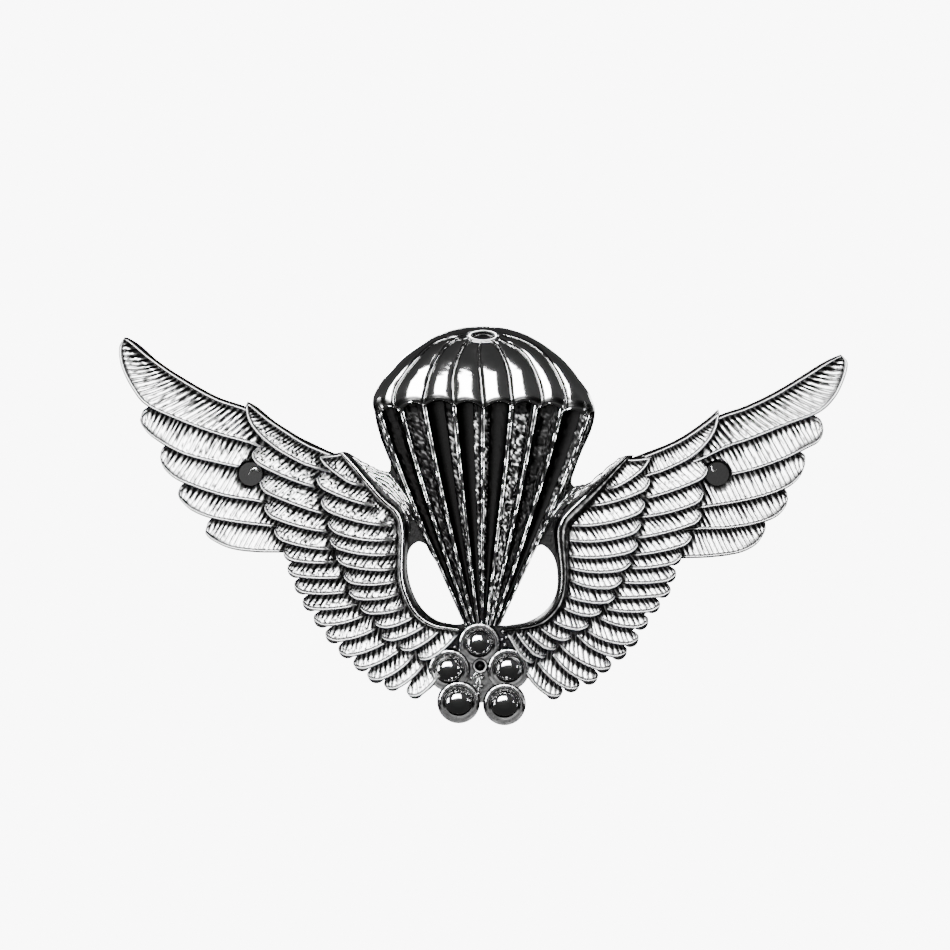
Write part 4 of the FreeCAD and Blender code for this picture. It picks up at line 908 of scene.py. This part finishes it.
# Heights between which the hem's shadow comes in
HEM_SHADE = (5.9, 6.6)


def line_x(index, z):
    """A suspension line's middle at a height. The outer lines bow out a little."""
    x, top = HEM_NODES[index]
    foot = mix(*LINE_FOOT_SPAN, index / (len(HEM_NODES) - 1))
    t = min(1.0, max(0.0, (top + 0.5 - z) / (top + 0.5 - LINE_FOOT_Z)))
    return mix(x, foot, t) + LINE_BOW * x / abs(HEM_NODES[0][0]) * math.sin(math.pi * t ** 0.8)


def edge_x(side, z):
    points = FAN_EDGE[side]
    for (x0, z0), (x1, z1) in zip(points, points[1:]):
        if z >= z1:
            return mix(x0, x1, max(0.0, (z0 - z) / (z0 - z1)))
    return points[-1][0]


def border_x(index, z):
    """What divides the fan's panels, from left to right: an edge, the lines, the other edge."""
    if index == 0:
        return edge_x("left", z)
    return line_x(index - 1, z) if index <= len(HEM_NODES) else edge_x("right", z)


def lines():
    relief = Relief()
    rng = random.Random(51)
    for index, (_, top) in enumerate(HEM_NODES):
        rows = []
        for k in range(LINE_ROWS + 1):
            z = mix(top + 0.4, LINE_FOOT_Z, k / LINE_ROWS)
            x, shrink = line_x(index, z), mix(1.0, LINE_TAPER, k / LINE_ROWS)
            worn = rng.uniform(-0.1, 0.5)
            rows.append([(x + dx * shrink, depth + rng.uniform(-0.02, 0.02), z, max(patina_and_shade, worn))
                         for dx, depth, patina_and_shade in LINE_SECTION])
        relief.sheet(rows, SEAT)
    relief.piece("suspension_cords", BRIGHT, "line_metal", "suspension_lines")


def trough_point(index, f, x, z, rng):
    """(x, depth, z, patina and painted shade) of a panel, f of the way across it."""
    patina_and_shade, stipple = [look for look in PANEL_LOOKS[index] if f >= look[0] - 0.001][-1][1:]
    hollow = math.sin(math.pi * f) ** 0.7
    grain = rng.uniform(-1, 1) * stipple
    shadow = smooth(*HEM_SHADE, z) if 0 < index < len(HEM_NODES) else 0.0
    depth = FAN + 0.2 - TROUGH_HOLLOW * hollow * (1 - 0.6 * stipple) + 0.07 * grain
    return x, depth, z, max(patina_and_shade + 0.5 * grain, 0.95 * shadow)


def troughs():
    """The hollow panels between the lines: some polished and painted black, a painted reflection of the dark
    room, some stippled.
    """
    relief = Relief()
    rng = random.Random(52)
    for index in range(len(PANEL_LOOKS)):
        rows = []
        for k in range(TROUGH_ROWS + 1):
            z = mix(TROUGH_TOP_Z, LINE_FOOT_Z, k / TROUGH_ROWS)
            x0, x1 = border_x(index, z), border_x(index + 1, z)
            rows.append([trough_point(index, f, mix(x0, x1, f), z, rng) for f in TROUGH_STEPS])
        relief.sheet(rows, SEAT)
    relief.piece("fan_troughs", TROUGH, "fan_metal", "fan_panel")


# ---- blossom

# Small grains beside the top petal: x, z, radius
GRAINS = [
    (1.95, -16.15, 0.28), (2.3, -16.75, 0.24), (1.85, -16.95, 0.22), (2.15, -17.5, 0.26),
    (1.85, -18.05, 0.22), (2.5, -18.1, 0.22), (-2.75, -16.2, 0.26), (-3.0, -17.75, 0.24),
    (-2.5, -18.05, 0.2), (1.4, -18.7, 0.2),
]
# How steep a dome is, in degrees, at shares of its radius
DOME_SLOPES = [(0.0, 0), (0.25, 5), (0.5, 13), (0.62, 34), (0.8, 50), (0.92, 62), (1.0, 76)]
DOME_TOP = 3.35
DOME_STEPS = 40
DOME_FOOT = 1.5
# Against its CAD node: how wide a dome is, how much higher it sits, and where its flat top is shifted
DOME_SHARE = 0.87
DOME_LIFT = 0.14
APEX_LEAN = (0.02, 0.34)
# Round a dome: distance from its edge, depth, tarnish
PETAL_SECTION = [
    (-0.34, 1.6, 0.95), (-0.26, 1.74, 0.95), (-0.2, 2.0, 0.5), (-0.13, 2.12, 0.05), (-0.05, 2.05, 0.4),
    (0.02, 1.84, 0.95), (0.1, 1.84, 0.95), (0.17, 2.1, 0.4), (0.26, 2.2, 0.0), (0.36, 2.18, 0.0),
    (0.44, 2.0, 0.5), (0.51, 1.84, 0.5), (0.56, 1.7, 0.8), (0.56, 1.0, 0.9),
]
CRESCENT_DEPTH = 1.82
# How grey the crescent below each dome is painted: painted shade on the petal rim's lower side
CRESCENT_SHADE_GREY = 0.61
# From the middle outwards: radius, depth, tarnish
PISTIL_SECTION = [
    (0.05, 2.35, 0.8), (0.18, 2.3, 0.7), (0.28, 2.1, 0.9), (0.42, 2.0, 0.9), (0.49, 2.2, 0.5),
    (0.55, 2.3, 0.4), (0.66, 2.31, 0.35), (0.74, 2.2, 0.55), (0.8, 1.9, 0.6), (0.8, 1.5, 0.9),
]
STAMEN_SECTION = [(0.04, 2.2, 0.0), (0.16, 2.14, 0.0), (0.26, 1.95, 0.2), (0.3, 1.5, 0.9)]
# Stamens, from the middle of their foot
STAMENS = [(-0.75, 1.75), (-0.25, 1.9), (0.3, 1.8), (-0.45, 0.95), (0.2, 0.9), (-0.1, 0.15)]


def petal_form(angle, depth, patina_and_shade):
    """Petal rims are beaded and ragged on their upper side, and below they are a smooth crescent, painted
    grey as shade.
    """
    below = smooth(0.1, -0.4, math.sin(angle))
    ragged = 0.8 * max(0.0, perlin.noise(Vector((5 * math.cos(angle), 5 * math.sin(angle), 1))))
    return mix(depth, min(depth, CRESCENT_DEPTH), below), mix(patina_and_shade + ragged, CRESCENT_SHADE_GREY, below)


def dome_profile(radius):
    """A dome that is nearly flat on top, so that its highlight is broad, from its middle outwards."""
    profile, depth = [], DOME_TOP
    for k in range(1, DOME_STEPS + 1):
        share = (k - 0.5) / DOME_STEPS
        for (a, low), (b, high) in zip(DOME_SLOPES, DOME_SLOPES[1:]):
            if a <= share <= b:
                slope = math.radians(mix(low, high, (share - a) / (b - a)))
        profile.append((max(0.01, radius * (k - 1) / DOME_STEPS), depth, 0.0))
        depth -= math.tan(slope) * radius / DOME_STEPS
    return profile + [(radius, depth, 0.3), (radius, DOME_FOOT, 0.9)]


def petals():
    """Five polished domes, each in its beaded petal, and the grains beside them."""
    collars = Relief()
    for node_name in ("petal_dome_%d" % k for k in range(1, 6)):
        low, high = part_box(node_name)
        x, z = centre_of(node_name)
        radius = (high.x - low.x) / 2 / MM
        ball = Relief()
        ball.lathe((x, z + DOME_LIFT), dome_profile(radius * DOME_SHARE), 64, squash=0.95, lean=APEX_LEAN)
        ball.piece(node_name + "_ball", MIRROR, "dome_metal", node_name)
        profile = [(radius + dr, depth, patina_and_shade) for dr, depth, patina_and_shade in PETAL_SECTION]
        collars.lathe((x, z), profile, 72, form=petal_form)
    for x, z, size in GRAINS:
        profile = [(0.05, 2.0, 0.1), (0.6 * size, 1.95, 0.1), (size, 1.75, 0.7), (size, 1.2, 0.9)]
        collars.lathe((x, z), profile, 14)
    collars.piece("petal_collars", PETAL, "blossom_metal")


def pistil():
    relief = Relief()
    relief.lathe(centre_of("pistil"), PISTIL_SECTION, 40)
    relief.piece("pistil_bud", PETAL, "blossom_metal", "pistil")


def stamens():
    """Beads on short threads that run to the middle."""
    relief = Relief()
    middle, foot = centre_of("stamens")[0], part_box("stamens")[0].z / MM
    for dx, dz in STAMENS:
        x, z = middle + dx, foot + dz
        relief.lathe((x, z), STAMEN_SECTION, 20)
        thread = [(x, 1.72, z), (mix(x, middle, 0.5), 1.8, z + 0.45), (middle, 1.7, z + 0.9)]
        relief.tube(thread, [0.1, 0.09, 0.07], 0.1, 8)
    relief.piece("stamen_tips", PETAL, "blossom_metal", "stamens")


# ---- posts

# The ridge that the hammer left on each post's head: x, z and half width in mm
PEENS = {
    "left": [(-24.15, -0.1, 0.06), (-23.9, 0.4, 0.16), (-23.55, 0.6, 0.22), (-23.22, 0.42, 0.19),
             (-23.0, 0.15, 0.08)],
    "right": [(23.38, 0.85, 0.05), (23.4, 0.62, 0.08), (23.48, 0.42, 0.09), (23.65, 0.3, 0.09),
              (23.9, 0.45, 0.05)],
}
PEEN_STEPS = 16


def peen(side):
    line = path_through(PEENS[side])
    marks = [line(k / PEEN_STEPS) for k in range(PEEN_STEPS + 1)]
    relief = Relief()
    relief.tube([(x, POST_DEPTH - 0.03, z) for x, z, _ in marks], [radius for _, _, radius in marks])
    relief.piece(side + "_peen", RIM, "post_metal")


# ---- clutches

SPRING_WIRE = 0.25
SPRING_CORNER = 0.6
# A spring's legs come down by this much towards the bow
SPRING_SAG = 0.02
# The radius of the grip ridges across a tab's lip, in mm
GRIP_RIDGE = 0.16
# The cap's button and its ring, from the middle outwards: radius, rise over the cap, tarnish
CAP_BUTTON = [(0.05, 0.2, 0.0), (0.5, 0.18, 0.1), (0.75, 0.1, 0.3), (0.9, 0.0, 0.5), (0.9, -0.1, 0.5)]
CAP_RING = [(0.05, -0.1, 0.5), (2.15, -0.1, 0.5), (2.2, 0.0, 0.5), (2.32, 0.1, 0.2), (2.5, 0.14, 0.0),
            (2.68, 0.1, 0.2), (2.8, 0.0, 0.5), (2.8, -0.15, 0.5)]


def spring_leg(tip, base, top):
    """(y, z) along the upper leg of a spring: in from its tip, then round the corner."""
    leg = [(mix(tip, base + SPRING_CORNER, k / 6), top - SPRING_SAG * k / 6) for k in range(7)]
    for k in range(1, 7):
        a = math.pi / 2 * k / 6
        leg.append((base + SPRING_CORNER * (1 - math.sin(a)),
                    top - SPRING_SAG - SPRING_CORNER * (1 - math.cos(a))))
    return leg


def spring(side):
    """The hairpin between the tabs, built as it rests. On the clutch its legs close as the tabs are squeezed;
    here nothing moves them.
    """
    low, high = (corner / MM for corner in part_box(side + "_clutch_spring"))
    middle, reach = (low.x + high.x) / 2, (high.x - low.x) / 2 - SPRING_WIRE
    base, bow = low.y + SPRING_WIRE, low.z + SPRING_WIRE + reach
    leg = spring_leg(high.y, base, high.z - SPRING_WIRE)
    points = [(middle - reach, -y, z) for y, z in leg]
    for k in range(33):
        a = math.pi * (1 + k / 32)
        points.append((middle + reach * math.cos(a), -base, bow + reach * math.sin(a)))
    points += [(middle + reach, -y, z) for y, z in reversed(leg)]
    relief = Relief()
    relief.tube(points, [SPRING_WIRE] * len(points), segments=14)
    clutch = side + "_clutch"
    wire = relief.piece(side + "_spring_wire", WIRE, "spring_wire", clutch + "_spring", body=clutch)
    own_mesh(wire)


def cap_stamping(side):
    """A ring and a button stamped out of the housing's cap."""
    housing = side + "_clutch_housing"
    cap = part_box(housing)[1].y / MM
    relief = Relief()
    for section in (CAP_BUTTON, CAP_RING):
        profile = [(radius, -(cap + rise), patina_and_shade) for radius, rise, patina_and_shade in section]
        relief.lathe(centre_of(housing), profile, 72)
    relief.piece(side + "_cap_stamping", CLUTCH, "clutch_metal", body=side + "_clutch")


def tab_ridges(side, which):
    """Two grip ridges across the outer face of a tab's lip."""
    low, high = (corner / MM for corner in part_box(side + "_" + which + "_tab"))
    outward = 1 if (side == "right") == (which == "outer") else -1
    face = high.x if outward > 0 else low.x
    relief = Relief()
    for share in (0.5, 0.75):
        y = mix(low.y, high.y, share)
        points = [(face - outward * 0.06, -y, mix(low.z + 0.7, high.z - 0.7, k / 8)) for k in range(9)]
        radii = [GRIP_RIDGE * (0.55 if k in (0, 8) else 1.0) for k in range(9)]
        relief.tube(points, radii, segments=12)
    relief.piece(side + "_" + which + "_tab_ridges", TAB, "tab_metal", body=side + "_" + which + "_grip")


# ---- CAD pieces that stay

FINISHES = {
    "wing_plate": PLATE_METAL, "centre_plate": PLATE_METAL, "blossom_plate": BLOSSOM_PLATE,
    "post": POST_METAL, "clutch_disc": CLUTCH, "clutch_housing": CLUTCH, "clutch_spring": WIRE,
    "outer_tab": TAB, "inner_tab": TAB, "outer_jaw": WIRE, "inner_jaw": WIRE,
}


def finish_cad():
    for name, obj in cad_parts.items():
        base = name.removeprefix("left_").removeprefix("right_")
        obj.data.materials.clear()
        obj.data.materials.append(FINISHES.get(base, MIRROR))


# ---- studio

FLOOR_RADIUS, FLOOR_LEVEL = 0.45, -0.3
# Soft lights that face the badge: name, place and size in metres, power in watts
LIGHTS = [
    ("front", (-0.09, -0.545, 0.085), (0.35, 0.24), 4.7),
    ("side_left", (-0.6, 0.02, -0.05), (0.25, 0.3), 1.9),
    ("side_right", (0.6, -0.2, -0.02), (0.05, 0.16), 0.3),
    ("back_high", (-0.2, 0.55, 0.2), (0.18, 0.1), 2.0),
    ("back_low", (-0.1, 0.55, -0.2), (0.5, 0.3), 0.8),
    ("back_right", (0.45, 0.45, 0.0), (0.15, 0.4), 1.2),
]
BACKGROUND = 9.0
# The dark room that the metal reflects, from below to above
ROOM = [(0.0, grey(0.02)), (0.45, grey(0.03)), (0.6, grey(0.06)), (1.0, grey(0.03))]
# The camera's lens and sensor in mm, the width that it sees at the badge's front, and its aim
LENS, SENSOR = 135, 36
VIEW_WIDTH, VIEW_DEPTH = 97.5, 2.0
VIEW_MIDDLE = (-0.92, -0.1)


def area(name, place, size, power):
    light = bpy.data.lights.new(name, "AREA")
    light.shape, light.size, light.size_y, light.energy = "RECTANGLE", size[0], size[1], power
    obj = bpy.data.objects.new(name, light)
    obj.location = place
    obj.rotation_euler = (-Vector(place)).to_track_quat("-Z", "Y").to_euler()
    obj.visible_camera = False
    bpy.context.scene.collection.objects.link(obj)


def pale_floor():
    mesh = bpy.data.meshes.new("floor")
    turns = [k * math.pi / 32 for k in range(64)]
    ring = [(FLOOR_RADIUS * math.cos(a), FLOOR_RADIUS * math.sin(a), FLOOR_LEVEL) for a in turns]
    mesh.from_pydata(ring, [], [tuple(range(64))])
    floor = bpy.data.objects.new("floor", mesh)
    pale = bpy.data.materials.new("pale_floor")
    pale.use_nodes = True
    shader = pale.node_tree.nodes["Principled BSDF"]
    shader.inputs["Base Color"].default_value = (0.8, 0.8, 0.8, 1)
    shader.inputs["Roughness"].default_value = 0.9
    mesh.materials.append(pale)
    bpy.context.scene.collection.objects.link(floor)
    floor.visible_glossy = False


def room():
    """A pale background round a dark room."""
    world = bpy.data.worlds.new("studio")
    bpy.context.scene.world = world
    world.use_nodes = True
    tree = world.node_tree
    dark = tree.nodes["Background"]
    rise = math_node(tree, "MULTIPLY", height_along(tree, "Z", "Generated"), 0.5)
    tree.links.new(ramp(tree, math_node(tree, "ADD", rise, 0.5), ROOM), dark.inputs["Color"])
    seen = node(tree, "ShaderNodeBackground", Color=(1, 1, 1, 1), Strength=BACKGROUND)
    choose = tree.nodes.new("ShaderNodeMixShader")
    ray = tree.nodes.new("ShaderNodeLightPath")
    tree.links.new(ray.outputs["Is Camera Ray"], choose.inputs[0])
    tree.links.new(dark.outputs[0], choose.inputs[1])
    tree.links.new(seen.outputs[0], choose.inputs[2])
    tree.links.new(choose.outputs[0], tree.nodes["World Output"].inputs["Surface"])


def camera():
    """Square on to the front."""
    data = bpy.data.cameras.new("camera")
    data.lens, data.sensor_width = LENS, SENSOR
    cam = bpy.data.objects.new("camera", data)
    away = -VIEW_DEPTH * MM - VIEW_WIDTH * MM * LENS / SENSOR
    cam.location = (VIEW_MIDDLE[0] * MM, away, VIEW_MIDDLE[1] * MM)
    cam.rotation_euler = (math.pi / 2, 0, 0)
    bpy.context.scene.collection.objects.link(cam)
    bpy.context.scene.camera = cam


camera()
pale_floor()
for light in LIGHTS:
    area(*light)
room()
finish_cad()
wings()
for side in SIDES:
    rim(side)
    strands(side)
    peen(side)
    spring(side)
    cap_stamping(side)
    for which in ("outer", "inner"):
        tab_ridges(side, which)
canopy()
vent()
lines()
troughs()
petals()
pistil()
stamens()
